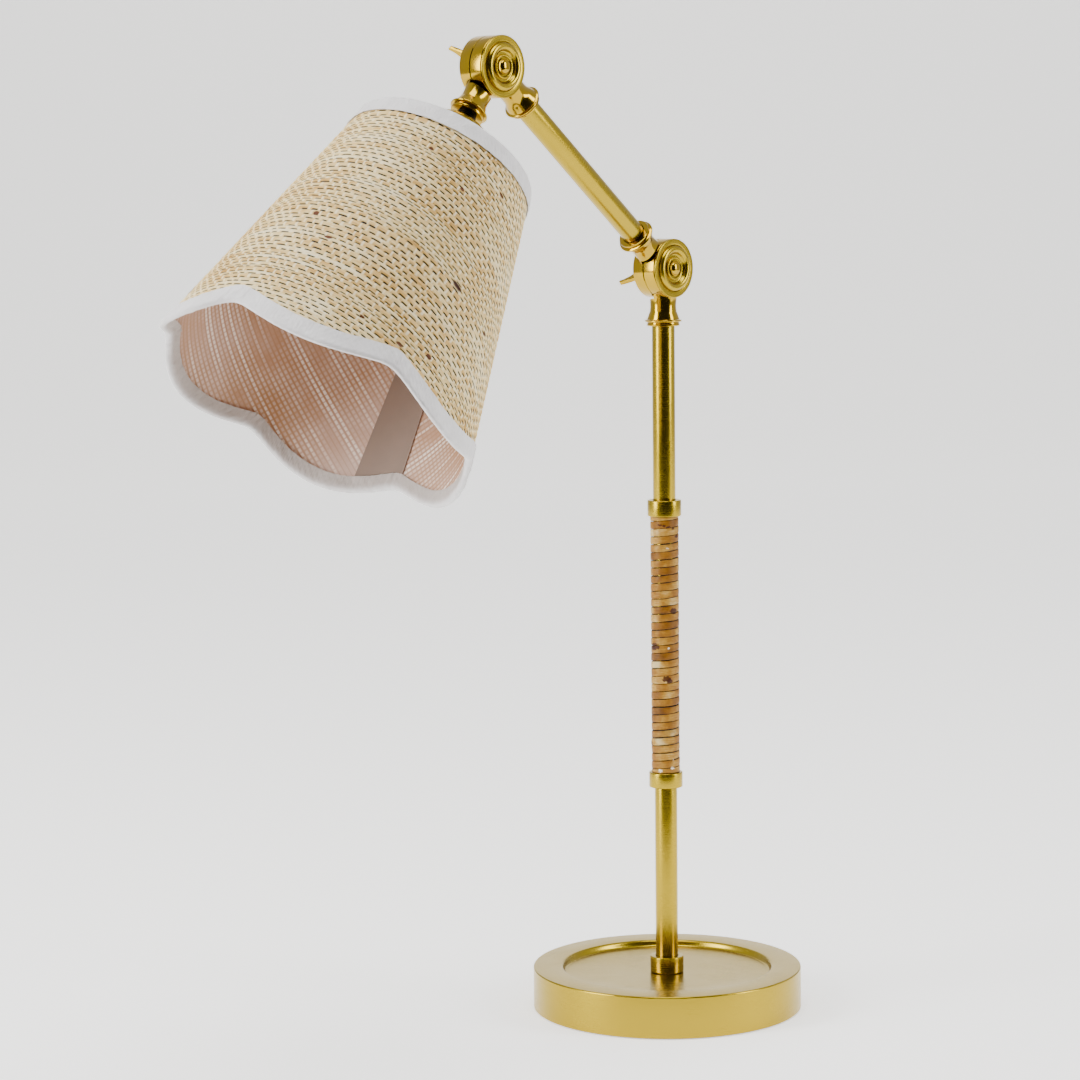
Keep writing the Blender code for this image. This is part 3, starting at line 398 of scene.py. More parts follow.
def cottonTape(name):
    # plain cotton bias tape: matt white, threads at a slant; inside, greyer from the film behind and painted
    # shade; at the inner cut edge, a glue line and painted shadow
    made, tree, shader = blank(name)
    threadPitch = 0.45 * mm                      # real cotton has about twice as many threads
    uv = put(tree, "UVMap", {"uv_map": "UVMap"})
    flat = put(tree, "VectorMath", times, [uv, (0.55, 0.042, 1)])
    slant = put(tree, "Mapping", None, {"Vector": flat, "Rotation": (0, 0, radians(45))})
    threads = []
    for way in ("X", "Y"):
        threads.append(put(tree, "TexWave", {"bands_direction": way},
                           {"Vector": slant, "Scale": 1 / threadPitch / 20, "Distortion": 0.6,
                            "Detail": 1.0}, 1))
    cloth = put(tree, "Math", plus, threads)
    place = put(tree, "TexCoord", None, None, 3)
    soft = put(tree, "TexNoise", None, {"Vector": place, "Scale": 60.0, "Detail": 4.0, "Roughness": 0.7})
    colour = put(tree, "Mix", colourMix, {0: soft, 6: linear("#cfcaca"), 7: linear("#f4f2f1")}, 2)
    # across the tape the loop runs over the outside face and back along the inside one
    girth = put(tree, "SeparateXYZ", None, [uv], 1)
    fromStart = put(tree, "Math", thereAndBack, [girth, 0.5])
    inside = put(tree, "MapRange", smoothStep, [fromStart, 0.26, 0.38])
    # the inner leg is greyer: the brown film shows through the thin cotton, and painted shade darkens it
    # further
    filmAndShadeGrey = put(tree, "Mix", colourMix, {0: soft, 6: linear("#a39992"), 7: linear("#cbc3bd")}, 2)
    colour = put(tree, "Mix", colourMix, {0: inside, 6: colour, 7: filmAndShadeGrey}, 2)
    # the inner leg's cut edge is painted dark brown: a glue line and the painted shadow where the edge stands
    # off the film
    glueAndShadowEdge = put(tree, "MapRange", smoothStep, [fromStart, 0.475, 0.49, 0.0, 0.75])
    colour = put(tree, "Mix", colourMix, {0: glueAndShadowEdge, 6: colour, 7: linear("#7c5a3c")}, 2)
    creases = stretched(tree, flat, 900.0, 120.0, 2.0)
    height = put(tree, "Math", timesPlus, [creases, 2.5, put(tree, "Math", times, [cloth, 0.3])])
    bump = put(tree, "Bump", None, {"Height": height, "Strength": 0.6, "Distance": 0.35 * mm})
    fill(tree, shader, {"Base Color": colour, "Normal": bump, "Roughness": 0.88, "Sheen Weight": 0.2})
    return made


# the winding: where its knots are, as the direction round the pole, the height and half the width
winding = {
    "turns": 34, "innerRadius": 6.7, "crown": 8.0, "stepsPerTurn": 48,
    "knots": [(-103, 228.0, 3.0), (176, 208.0, 3.4), (167, 207.0, 2.6), (-134, 189.6, 3.0), (-122, 188.4, 2.4),
              (-84, 270.0, 1.9), (-104, 274.6, 1.2), (60, 250.0, 2.2), (95, 176.0, 2.8), (20, 205.0, 2.4),
              (140, 152.0, 2.5), (-118, 142.6, 1.2), (-162, 276.8, 1.5), (-143, 276.3, 1.5),
              (-124, 275.7, 1.5)],
    "chips": [(-128, 263.5, 1.0), (-163, 137.2, 1.6), (-113, 138.6, 1.4), (-107, 143.5, 0.9), (70, 221.0, 1.5),
              (-124, 207.0, 0.9)],
}


def rattanPeel(name):
    # split rattan peel: glossy golden bark side, fine grain along the strip, painted shade in the seams, knots
    # and pale chips
    made, tree, shader = blank(name)
    place = put(tree, "TexCoord", None, None, 3)
    x = put(tree, "SeparateXYZ", None, [place], 0)
    y = put(tree, "SeparateXYZ", None, [place], 1)
    z = put(tree, "SeparateXYZ", None, [place], 2)
    uv = put(tree, "UVMap", {"uv_map": "UVMap"})
    along = put(tree, "SeparateXYZ", None, [uv], 0)
    along = put(tree, "Math", times, [along, float(winding["turns"])])
    lengthTone = put(tree, "TexNoise", {"noise_dimensions": "1D"}, {"W": along, "Scale": 1.7, "Detail": 3.0})
    grainPlace = put(tree, "CombineXYZ", None, [along, z])
    grainPlace = put(tree, "VectorMath", times, [grainPlace, (9.0, 1 / (0.35 * mm), 1.0)])
    grain = put(tree, "TexNoise", None, {"Vector": grainPlace, "Scale": 1.0, "Detail": 4.0, "Roughness": 0.65})
    blotch = put(tree, "TexNoise", None, {"Vector": place, "Scale": 130.0, "Detail": 4.0, "Roughness": 0.6})
    tone = put(tree, "Math", timesPlus, [grain, 0.50, -0.46])
    tone = put(tree, "Math", timesPlus, [lengthTone, 0.95, tone])
    tone = put(tree, "Math", timesPlus, [blotch, 0.55, tone])
    colour = put(tree, "ValToRGB", {"stops": ((0.15, "#4b2e08"), (0.34, "#75490d"), (0.50, "#8e5f16"),
                                              (0.64, "#ad8436"), (0.80, "#cdb67e"))}, [tone])

    # painted shade: the seams are darkened where the surface falls away between the turns
    reach = put(tree, "VectorMath", {"operation": "LENGTH"}, [put(tree, "CombineXYZ", None, [x, y])], 1)
    seam = put(tree, "MapRange", smoothStep, [reach, 7.93 * mm, 7.68 * mm])
    colour = put(tree, "Mix", colourMix, {0: seam, 6: colour, 7: linear("#140a04")}, 2)

    # knots and chips are small patches with ragged edges
    ragged = put(tree, "TexNoise", None, {"Vector": place, "Scale": 900.0, "Detail": 3.0})
    for spots, spotTone, flatness in ((winding["knots"], "#3a1503", 1.5), (winding["chips"], "#f3ead6", 1.2)):
        for direction, height, half in spots:
            centre = Vector((cos(radians(direction)), sin(radians(direction)), 0)) * winding["crown"] * mm
            centre.z = height * mm
            offset = put(tree, "VectorMath", minus, [place, centre])
            offset = put(tree, "VectorMath", times, [offset, (1.0, 1.0, flatness)])
            apart = put(tree, "VectorMath", {"operation": "LENGTH"}, [offset], 1)
            apart = put(tree, "Math", timesPlus, [ragged, 3.0 * mm, apart])
            edge = (half + 1.1) * mm
            spot = put(tree, "MapRange", smoothStep,
                       [apart, edge + 0.25 * mm, edge - 0.35 * mm, 0.0, 0.92])
            colour = put(tree, "Mix", colourMix, {0: spot, 6: colour, 7: linear(spotTone)}, 2)
    height = put(tree, "Math", timesPlus, [blotch, 0.8, grain])
    bump = put(tree, "Bump", None, {"Height": height, "Strength": 0.35, "Distance": 0.15 * mm})
    gloss = put(tree, "Math", timesPlus, [blotch, 0.25, 0.32])
    fill(tree, shader, {"Base Color": colour, "Normal": bump, "Roughness": gloss, "Specular IOR Level": 0.18,
                        "Coat Weight": 0.03, "Coat Roughness": 0.25})
    return made


placeCamera()
setStudio()
print("camera and studio are set")

satinBrass = brass("satin lacquered brass", "#ad9326", 0.22, 0.012 * mm)
polishedBrass = brass("polished lacquered brass", "#b39226", 0.10, 0.004 * mm)
zincSteel = plainMetal("zinc plated steel", "#b9b9b6", 0.38, 4 * mm)
blackSteel = plainMetal("blackened steel", "#2c2723", 0.40, 2 * mm)
castIron = plainMetal("painted cast iron", "#3a3a3a", 0.70, 1.5 * mm)
phenolic = moulded("moulded phenolic", "#191817", 0.35, 0.4 * mm)
redFibre = moulded("vulcanised fibre", "#6b3f24", 0.60, 0.3 * mm)
leadSleeve = moulded("insulated lead sleeve", "#c9c8c1", 0.50, 0.5 * mm)
seamTape = moulded("glued seam tape", "#8d7768", 0.62, 0.25 * mm)
greyFelt = pressedFelt("pressed felt", "#3c3c3b")
opal = opalGlass("opal bulb glass")
raffia = raffiaCloth("woven raffia")
film = shadeFilm("shade lining film")
cotton = cottonTape("cotton bias tape")
print("materials are made")

# how pieces are made


def arcPoints(centre, radius, start, end, count):
    # points on an arc in the plane of radius and height, angles in degrees
    turns = [radians(start + (end - start) * i / count) for i in range(count + 1)]
    return [(centre[0] + radius * cos(t), centre[1] + radius * sin(t)) for t in turns]


def curvePoints(start, pull, end, count):
    # points on a curve that leaves start towards pull and arrives at end from it
    points = []
    for i in range(count + 1):
        t = i / count
        rest = 1 - t
        points.append(tuple(rest ** 2 * a + 2 * t * rest * b + t * t * c for a, b, c in zip(start, pull, end)))
    return points


def drawOutline(name, points):
    # a small plane is merged to its middle and that point is extruded along the outline, in edit mode
    deselectAll()
    bpy.ops.mesh.primitive_plane_add(size=mm, location=points[0])
    piece = bpy.context.object
    piece.name = name
    piece.data.name = name
    bpy.ops.object.transform_apply(location=True)
    bpy.ops.object.mode_set(mode="EDIT")
    bpy.ops.mesh.merge(type="CENTER")
    for here, there in zip(points, points[1:]):
        bpy.ops.mesh.extrude_vertices_move(TRANSFORM_OT_translate={"value": tuple(there - here)})
    return piece


def turnOnLathe(name, outline, place=None, steps=96, ring=True):
    # an outline of radius and height in mm is drawn, spun round Z and moved to its place
    points = [Vector((r, 0, z)) * mm for r, z in outline]
    piece = drawOutline(name, points)
    if ring:
        drawn = bmesh.from_edit_mesh(piece.data)
        for vert in drawn.verts:
            vert.select_set(min((vert.co - points[0]).length, (vert.co - points[-1]).length) < 1e-7)
        drawn.select_flush_mode()
        bpy.ops.mesh.edge_face_add()
    bpy.ops.mesh.select_all(action="SELECT")
    bpy.ops.mesh.spin(steps=steps, angle=2 * pi, center=(0, 0, 0), axis=(0, 0, 1))
    bpy.ops.mesh.select_all(action="SELECT")
    bpy.ops.mesh.remove_doubles(threshold=1e-6)
    bpy.ops.mesh.normals_make_consistent(inside=False)
    bpy.ops.object.mode_set(mode="OBJECT")
    marks = piece.data.attributes.new("turned", "FLOAT", "POINT")
    marks.data.foreach_set("value", [v.co.z - hypot(v.co.x, v.co.y) for v in piece.data.vertices])
    if place is not None:
        setPlace(piece, place)
    smooth(piece)
    return piece


def ringOutline(inner, outer, bottom, top, edge=0.4):
    # a plain ring or tube with rounded outer edges
    return ([(inner, bottom)] + arcPoints((outer - edge, bottom + edge), edge, -90, 0, 4)
            + arcPoints((outer - edge, top - edge), edge, 0, 90, 4) + [(inner, top)])


def applyChange(piece, kind, **settings):
    # a modifier with its settings, applied at once
    change = piece.modifiers.new("change", kind)
    for key, value in settings.items():
        setattr(change, key, value)
    pick(piece)
    bpy.ops.object.modifier_apply(modifier=change.name)


def combine(piece, tool, operation):
    # cuts or joins one piece with another, which is used up
    applyChange(piece, "BOOLEAN", operation=operation, solver="EXACT", object=tool)
    bpy.data.objects.remove(tool, do_unlink=True)


def rollStrip(name, around, along, placeAt, place=None, sharp=40, trimmed=()):
    # a flat grid is rolled up: placeAt gives each point from its two shares, faces whose points are all
    # trimmed go, and edges that meet are merged
    deselectAll()
    bpy.ops.mesh.primitive_grid_add(x_subdivisions=around, y_subdivisions=along, size=1.0)
    piece = bpy.context.object
    piece.name = name
    piece.data.name = name
    for vert in piece.data.vertices:
        vert.co = placeAt(round((vert.co.x + 0.5) * around) / around, round((vert.co.y + 0.5) * along) / along)
    bpy.ops.object.mode_set(mode="EDIT")
    if trimmed:
        drawn = bmesh.from_edit_mesh(piece.data)
        for face in drawn.faces:
            face.select_set(all(vert.index in trimmed for vert in face.verts))
        bpy.ops.mesh.delete(type="FACE")
    bpy.ops.mesh.select_all(action="SELECT")
    bpy.ops.mesh.delete_loose()
    bpy.ops.mesh.select_all(action="SELECT")
    bpy.ops.mesh.remove_doubles(threshold=2e-6)
    bpy.ops.object.mode_set(mode="OBJECT")
    if place is not None:
        setPlace(piece, place)
    smooth(piece, sharp)
    return piece


def turnOut(piece):
    # flips a rolled wall whose faces look towards the shade's axis instead of away from it
    middle = atHead @ Vector((0, 0, -shadeSizes["middle"] * mm))
    if sum((face.center - middle).dot(face.normal) * face.area for face in piece.data.polygons) < 0:
        piece.data.flip_normals()


def thicken(piece, thickness, sharp):
    # gives a rolled wall its thickness, inwards
    applyChange(piece, "SOLIDIFY", thickness=thickness * mm, offset=-1.0)
    smooth(piece, sharp)


def fit(piece, material, body, slot, *nodes):
    # material, body, record slot (not used), and the CAD nodes that this piece stands for
    piece.data.materials.clear()
    piece.data.materials.append(material)
    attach(piece, body)
    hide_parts(*nodes)


# base
baseSizes = {
    "radius": 76.2, "height": 24.0, "wall": 1.3, "skirt": 0.6, "edge": 0.9,
    "dish": 60.8, "floor": 20.0, "step": 3.6, "inlet": 9.0, "feltRadius": 74.3, "felt": 1.8,
}


def makeBase():
    size = baseSizes
    outer, top, wall = size["radius"], size["height"], size["wall"]
    rim, low = size["dish"], size["floor"]
    foot = rim - size["step"]
    outline = [(outer - wall, size["skirt"]), (outer - 0.3, size["skirt"]), (outer, size["skirt"] + 0.3)]
    outline += arcPoints((outer - size["edge"], top - size["edge"]), size["edge"], 0, 90, 6)
    outline += [(rim + 6.0, top)]
    outline += curvePoints((rim, top), (rim - 1.4, top), (rim - 1.9, top - 1.7), 6)
    outline += curvePoints((rim - 2.1, top - 2.3), (rim - 2.7, low + 0.55), (foot, low + 0.5), 5)
    outline += [(40.0, low + 0.3), (12.0, low), (5.3, low), (5.3, low - wall), (foot, low - wall + 0.4)]
    outline += [(rim + 0.4, top - wall), (outer - wall, top - wall)]
    shell = turnOnLathe("baseShell", outline, steps=192)
    inlet = Matrix.Translation((outer * mm, 0, size["inlet"] * mm)) @ Matrix.Rotation(pi / 2, 4, "Y")
    drill = turnOnLathe("inletDrill", [(0, -8), (4.2, -8), (4.2, 8), (0, 8)], inlet, 48, ring=False)
    combine(shell, drill, "DIFFERENCE")
    smooth(shell)
    fit(shell, satinBrass, "stand", "satin_brass", "base_shell")

    outline = [(0, 0)] + arcPoints((size["feltRadius"] - 0.4, 0.4), 0.4, -90, 0, 3)
    outline += arcPoints((size["feltRadius"] - 0.4, size["felt"] - 0.4), 0.4, 0, 90, 3) + [(0, size["felt"])]
    pad = turnOnLathe("baseFelt", outline, steps=128, ring=False)
    fit(pad, greyFelt, "stand", "felt", "base_felt")

    # the bushing grips the shell's wall with a flange on each side, and its mouth is flared
    inside, outside = -wall - 0.5, 0.4
    outline = arcPoints((3.4, outside + 1.0), 1.0, 180, 90, 4) + [(4.6, outside + 2.0)]
    outline += arcPoints((4.9, outside + 1.4), 0.6, 90, 0, 3) + [(5.5, outside), (3.8, outside), (3.8, inside)]
    outline += [(5.2, inside), (5.0, inside - 1.2), (2.4, inside - 1.2)]
    bushing = turnOnLathe("cordBushing", outline, inlet, 48)
    fit(bushing, phenolic, "stand", "phenolic", "cord_bushing")
    print("base is made")


# pole
poleSizes = {
    "tube": 6.35, "bore": 5.35, "sleeve": 6.65, "collar": 9.5,
    "collarSpan": (20.3, 29.4), "lowerFerrule": (127.0, 135.6), "upperFerrule": (281.3, 290.3),
    "lowerTube": (20.3, 131.15), "coreTube": (131.45, 285.65), "upperTube": (285.95, 394.1),
}


def makePole():
    size = poleSizes
    # bore, outside and edge
    ring, tube = (size["sleeve"], size["collar"], 0.5), (size["bore"], size["tube"], 0.2)
    pieces = [("baseCollar", "collarSpan", "base_collar", ring),
              ("ferruleLower", "lowerFerrule", "ferrule_lower", ring),
              ("ferruleUpper", "upperFerrule", "ferrule_upper", ring),
              ("poleLowerTube", "lowerTube", "pole_lower_tube", tube),
              ("poleCoreTube", "coreTube", "pole_core_tube", tube),
              ("poleUpperTube", "upperTube", "pole_upper_tube", tube)]
    for name, span, node, (bore, outside, edge) in pieces:
        bottom, top = size[span]
        turned = turnOnLathe(name, ringOutline(bore, outside, bottom, top, edge))
        fit(turned, satinBrass, "stand", "satin_brass", node)
    print("pole is made")


def makeWinding():
    # one flat strip of peel goes round and round, its ends cut level with the ferrules
    bottom, top = poleSizes["lowerFerrule"][1] + 0.3, poleSizes["upperFerrule"][0] - 0.3
    turns = winding["turns"]
    pitch = (top - bottom) / (turns - 1)
    halfWidth = pitch / 2 * 0.965
    inner, crown = winding["innerRadius"], winding["crown"]
    middle, half = (inner + crown) / 2, (crown - inner) / 2

    def placeAt(along, across):
        turn = along * turns
        angle = 2 * pi * turn
        section = 2 * pi * across
        side, rise = cos(section), sin(section)
        flatSide = (abs(side) ** 0.46) * (1 if side > 0 else -1)
        flatRise = (abs(rise) ** 0.50) * (1 if rise > 0 else -1)
        drift = noise.noise(Vector((turn * 1.3, 3.1, 0.0)))
        swell = noise.noise(Vector((turn * 0.8, 9.7, 2.0)))
        edge = noise.noise(Vector((turn * 5.0, flatSide * 1.5, 7.0)))
        radius = middle + flatRise * half
        if rise > 0:
            radius += 0.16 * swell + 0.10 * edge
            facing = degrees(angle) % 360
            for direction, knotHeight, knotHalf in winding["knots"]:
                aside = radians((facing - direction + 180) % 360 - 180) * crown
                apart = hypot(aside, bottom + (turn - 0.5) * pitch + flatSide * halfWidth - knotHeight)
                radius += 0.35 * exp(-(apart / knotHalf) ** 2)
        height = bottom + (turn - 0.5) * pitch + flatSide * (halfWidth + 0.10 * edge) + 0.16 * drift
        return Vector((radius * cos(angle), radius * sin(angle), height)) * mm

    strip = rollStrip("rattanWrap", turns * winding["stepsPerTurn"], 20, placeAt, sharp=60)
    turnPeelEnds(strip, bottom, top)
    peel = rattanPeel("split rattan peel")
    fit(strip, peel, "stand", "rattan", "rattan_wrap")
    print("winding is made")


def turnPeelEnds(strip, bottom, top):
    # both open ends are closed, then the winding is cut level at each ferrule
    pick(strip)
    bpy.ops.object.mode_set(mode="EDIT")
    bpy.ops.mesh.select_all(action="SELECT")
    bpy.ops.mesh.fill_holes(sides=64)
    bpy.ops.mesh.normals_make_consistent(inside=False)
    for level, way in ((bottom, -1), (top, 1)):
        bpy.ops.mesh.select_all(action="SELECT")
        bpy.ops.mesh.bisect(plane_co=(0, 0, level * mm), plane_no=(0, 0, way), use_fill=True, clear_outer=True)
    bpy.ops.object.mode_set(mode="OBJECT")
    smooth(strip, 60)


# elbows
elbowSizes = {
    "disc": 16.4, "bolt": 3.2, "front": (-0.55, 7.1), "back": (-0.85, -8.2), "edge": 0.5,
    "neckEnd": 32.1, "ring": 9.15, "flange": 10.4, "flangePlace": 29.2, "waist": 7.25, "waistPlace": 20.3,
    "socket": 6.5, "root": 8.1,
}


def neckOutline(socketBore):
    # from the bore up the outside to the disc, as radius and distance below the pivot
    size = elbowSizes
    end, place, flange, ring = size["neckEnd"], size["flangePlace"], size["flange"], size["ring"]
    waist, root = size["waist"], size["root"]
    points = [(2.6, 11.0), (2.6, end - size["socket"]), (socketBore, end - size["socket"]), (socketBore, end)]
    points += arcPoints((ring - 0.5, end - 0.5), 0.5, 90, 0, 3)
    points += [(ring, end - 1.2)] + arcPoints((ring + 0.1, end - 1.55), 0.35, 90, 180, 3)
    points += [(ring - 0.25, place + 0.85)]
    points += arcPoints((flange - 0.55, place), 0.55, 60, -70, 5)
    points += curvePoints((flange - 1.25, place - 0.8), (waist + 1.0, place - 3.4),
                          (waist + 0.25, place - 5.2), 6)
    narrow = size["waistPlace"]
    points += curvePoints((waist, narrow + 1.5), (waist - 0.1, narrow - 2.0), (root, 14.5), 6)
    points += [(root, 11.0)]
    return [(radius, -distance) for radius, distance in points]


def makeHalf(name, node, isFront, body, place, socketBore):
    size = elbowSizes
    rim, face = size["front"] if isFront else size["back"]
    out = 1 if isFront else -1
    disc, edge = size["disc"], size["edge"]
    outline = [(size["bolt"], rim), (disc - 0.25, rim), (disc, rim + out * 0.25)]
    outline += arcPoints((disc - edge, face - out * edge), edge, 0, out * 90, 4) + [(size["bolt"], face)]
    half = turnOnLathe(name, outline, toFront, 144)
    neck = turnOnLathe(name + "Neck", neckOutline(socketBore), None, 96)
    # the neck ends inside this half and stays clear of the other one
    near, clear, step, far = disc - 1.3, disc + 1.9, rim + out * 0.3, out * 30
    cutter = [(0, far), (near, far), (near, step), (clear, step), (clear, -far), (0, -far)]
    combine(neck, turnOnLathe("roundCutter", cutter, toFront, 144, ring=False), "DIFFERENCE")
    combine(half, neck, "UNION")
    setPlace(half, place)
    smooth(half, 28)
    fit(half, polishedBrass, body, "satin_brass", node)


def makeCap(name, node, body, place):
    # a turned cap: flat rim, groove, broad round ring, recess and a small ring at the bolt
    face, disc = 8.4, elbowSizes["disc"]
    outline = [(3.4, 7.4), (disc - 0.2, 7.4), (disc, 7.6)]
    outline += arcPoints((disc - 0.45, face - 0.45), 0.45, 0, 90, 4)
    outline += [(13.4, face - 0.12)]
    outline += curvePoints((13.2, face - 0.2), (13.0, face - 0.8), (12.8, face - 0.7), 3)
    outline += arcPoints((10.6, face - 0.4), 2.15, 8, 165, 14)
    outline += curvePoints((8.3, face - 0.1), (8.0, face - 0.75), (7.2, face - 0.75), 4)
    outline += [(6.5, face - 0.7)] + arcPoints((5.85, face + 0.05), 0.6, -30, 200, 8)
    outline += [(5.0, face - 0.4), (3.4, face - 0.4)]
    cap = turnOnLathe(name, outline, place @ toFront, 144)
    fit(cap, satinBrass, body, "satin_brass", node)


def makeBolt(name, node, body, place):
    # a domed head with a small collar under it, and a shank through to the wing nut
    seat, tail = 8.5, -18.3
    outline = [(0, seat + 2.45)] + curvePoints((0.9, seat + 2.42), (3.3, seat + 2.1), (3.75, seat + 0.7), 7)
    outline += [(4.25, seat + 0.62), (4.3, seat + 0.2), (4.15, seat)]
    outline += [(2.9, seat), (2.9, tail + 0.5), (2.4, tail), (0, tail)]
    bolt = turnOnLathe(name, outline, place @ toFront, 64, ring=False)
    fit(bolt, polishedBrass, body, "satin_brass", node)


wingSizes = {"reach": 14.0, "depth": 14.7, "thick": 2.3, "base": 8.5, "round": 0.75}


def makeWingNut(name, node, place, rise):
    # a cast nut: a turned hub and two wings, each extruded from its outline and rounded over
    size = wingSizes
    base = size["base"]
    outline = [(3.2, base)] + arcPoints((6.6, base + 0.4), 0.4, -90, 0, 3) + [(7.0, base + 1.0)]
    outline += curvePoints((6.7, base + 1.8), (5.9, base + 3.2), (5.2, base + 8.0), 5)
    outline += arcPoints((4.7, base + 8.1), 0.5, 0, 90, 3) + [(3.2, base + 8.6)]
    hub = turnOnLathe(name, outline, toBack, 72)
    reach, tip = size["reach"], base + size["depth"]
    side = curvePoints((3.9, base + 1.8), (9.4, base + 2.6), (reach - 0.6, tip - 1.4), 8)
    side += arcPoints((reach - 1.35, tip - 1.0), 0.95, -20, 115, 5)
    side += curvePoints((reach - 2.4, tip - 1.5), (8.2, base + 8.6), (3.9, base + 7.4), 7)
    for number in range(2):
        wing = makeWing(name + "Wing", side)
        setPlace(wing, Matrix.Rotation(pi + rise + number * pi, 4, "Y"))
        combine(hub, wing, "UNION")
    setPlace(hub, place)
    smooth(hub, 40)
    fit(hub, polishedBrass, node, "satin_brass", node)     # each wing nut is a body of its own


def makeWing(name, side):
    wing = drawOutline(name, [Vector((x, y, -wingSizes["thick"] / 2)) * mm for x, y in side])
    bpy.ops.mesh.select_all(action="SELECT")
    bpy.ops.mesh.edge_face_add()
    bpy.ops.mesh.extrude_region_move(TRANSFORM_OT_translate={"value": (0, 0, wingSizes["thick"] * mm)})
    bpy.ops.mesh.select_all(action="SELECT")
    bpy.ops.mesh.normals_make_consistent(inside=False)
    bpy.ops.object.mode_set(mode="OBJECT")
    applyChange(wing, "BEVEL", width=wingSizes["round"] * mm, segments=3, limit_method="ANGLE",
                angle_limit=radians(50))
    return wing


def makeElbows():
    half = Matrix.Rotation(pi, 4, "Y")
    tubeBore, studBore = poleSizes["sleeve"], 5.3
    makeHalf("standElbowHalf", "stand_elbow_half", True, "stand", atLowerElbow, tubeBore)
    makeHalf("armElbowHalfLower", "arm_elbow_half_lower", False, "arm", alongArm @ half, tubeBore)
    makeHalf("armElbowHalfUpper", "arm_elbow_half_upper", True, "arm", atArmEnd, tubeBore)
    makeHalf("headElbowHalf", "head_elbow_half", False, "head", atHead, studBore)
    makeCap("lowerElbowCap", "lower_elbow_cap", "stand", atLowerElbow)
    makeCap("upperElbowCap", "upper_elbow_cap", "arm", atArmEnd)
    makeBolt("lowerElbowBolt", "lower_elbow_bolt", "stand", atLowerElbow)
    makeBolt("upperElbowBolt", "upper_elbow_bolt", "arm", atArmEnd)
    makeWingNut("lowerWingNut", "lower_wing_nut", Matrix.Translation(lowerPivot), radians(-39))
    makeWingNut("upperWingNut", "upper_wing_nut", Matrix.Translation(upperPivot), radians(54))
    start = elbowSizes["neckEnd"] - elbowSizes["socket"] + 0.3
    outline = ringOutline(poleSizes["bore"], poleSizes["tube"], start, armReach.length / mm - start, 0.2)
    tube = turnOnLathe("armTube", outline, alongArm, 96)
    fit(tube, satinBrass, "arm", "satin_brass", "arm_tube")
    print("elbows and arm are made")


# lamp holder and bulb
holderSizes = {
    "threadTop": 25.9, "threadEnd": 44.8, "threadPitch": 1.0, "cupTop": 38.0, "cupMouth": 60.0,
    "bodyTop": 47.0, "seat": 68.0, "shoulder": 72.0, "ring": 76.0, "bodyEnd": 98.0, "skirt": 19.8,
    "neck": 17.5, "bulbBore": 14.6, "knob": 66.0,
}
bulbSizes = {"globe": 22.5, "tip": 148.2, "cap": 13.0, "capTop": 69.8, "capEnd": 96.8, "neck": 11.8}


def dropped(outline):
    # drops below the upper elbow are heights below the head's origin
    return [(radius, -drop) for radius, drop in outline]


def threadOutline(bore, radius, start, end, pitch, depth):
    # a threaded length, its thread drawn as rings
    points, root = [(bore, start)], radius - depth
    for number in range(int((end - start) / pitch)):
        low = start + number * pitch
        points += [(root, low + 0.1 * pitch), (radius, low + 0.4 * pitch), (radius, low + 0.6 * pitch),
                   (root, low + 0.9 * pitch)]
    return points + [(root, end), (bore, end)]


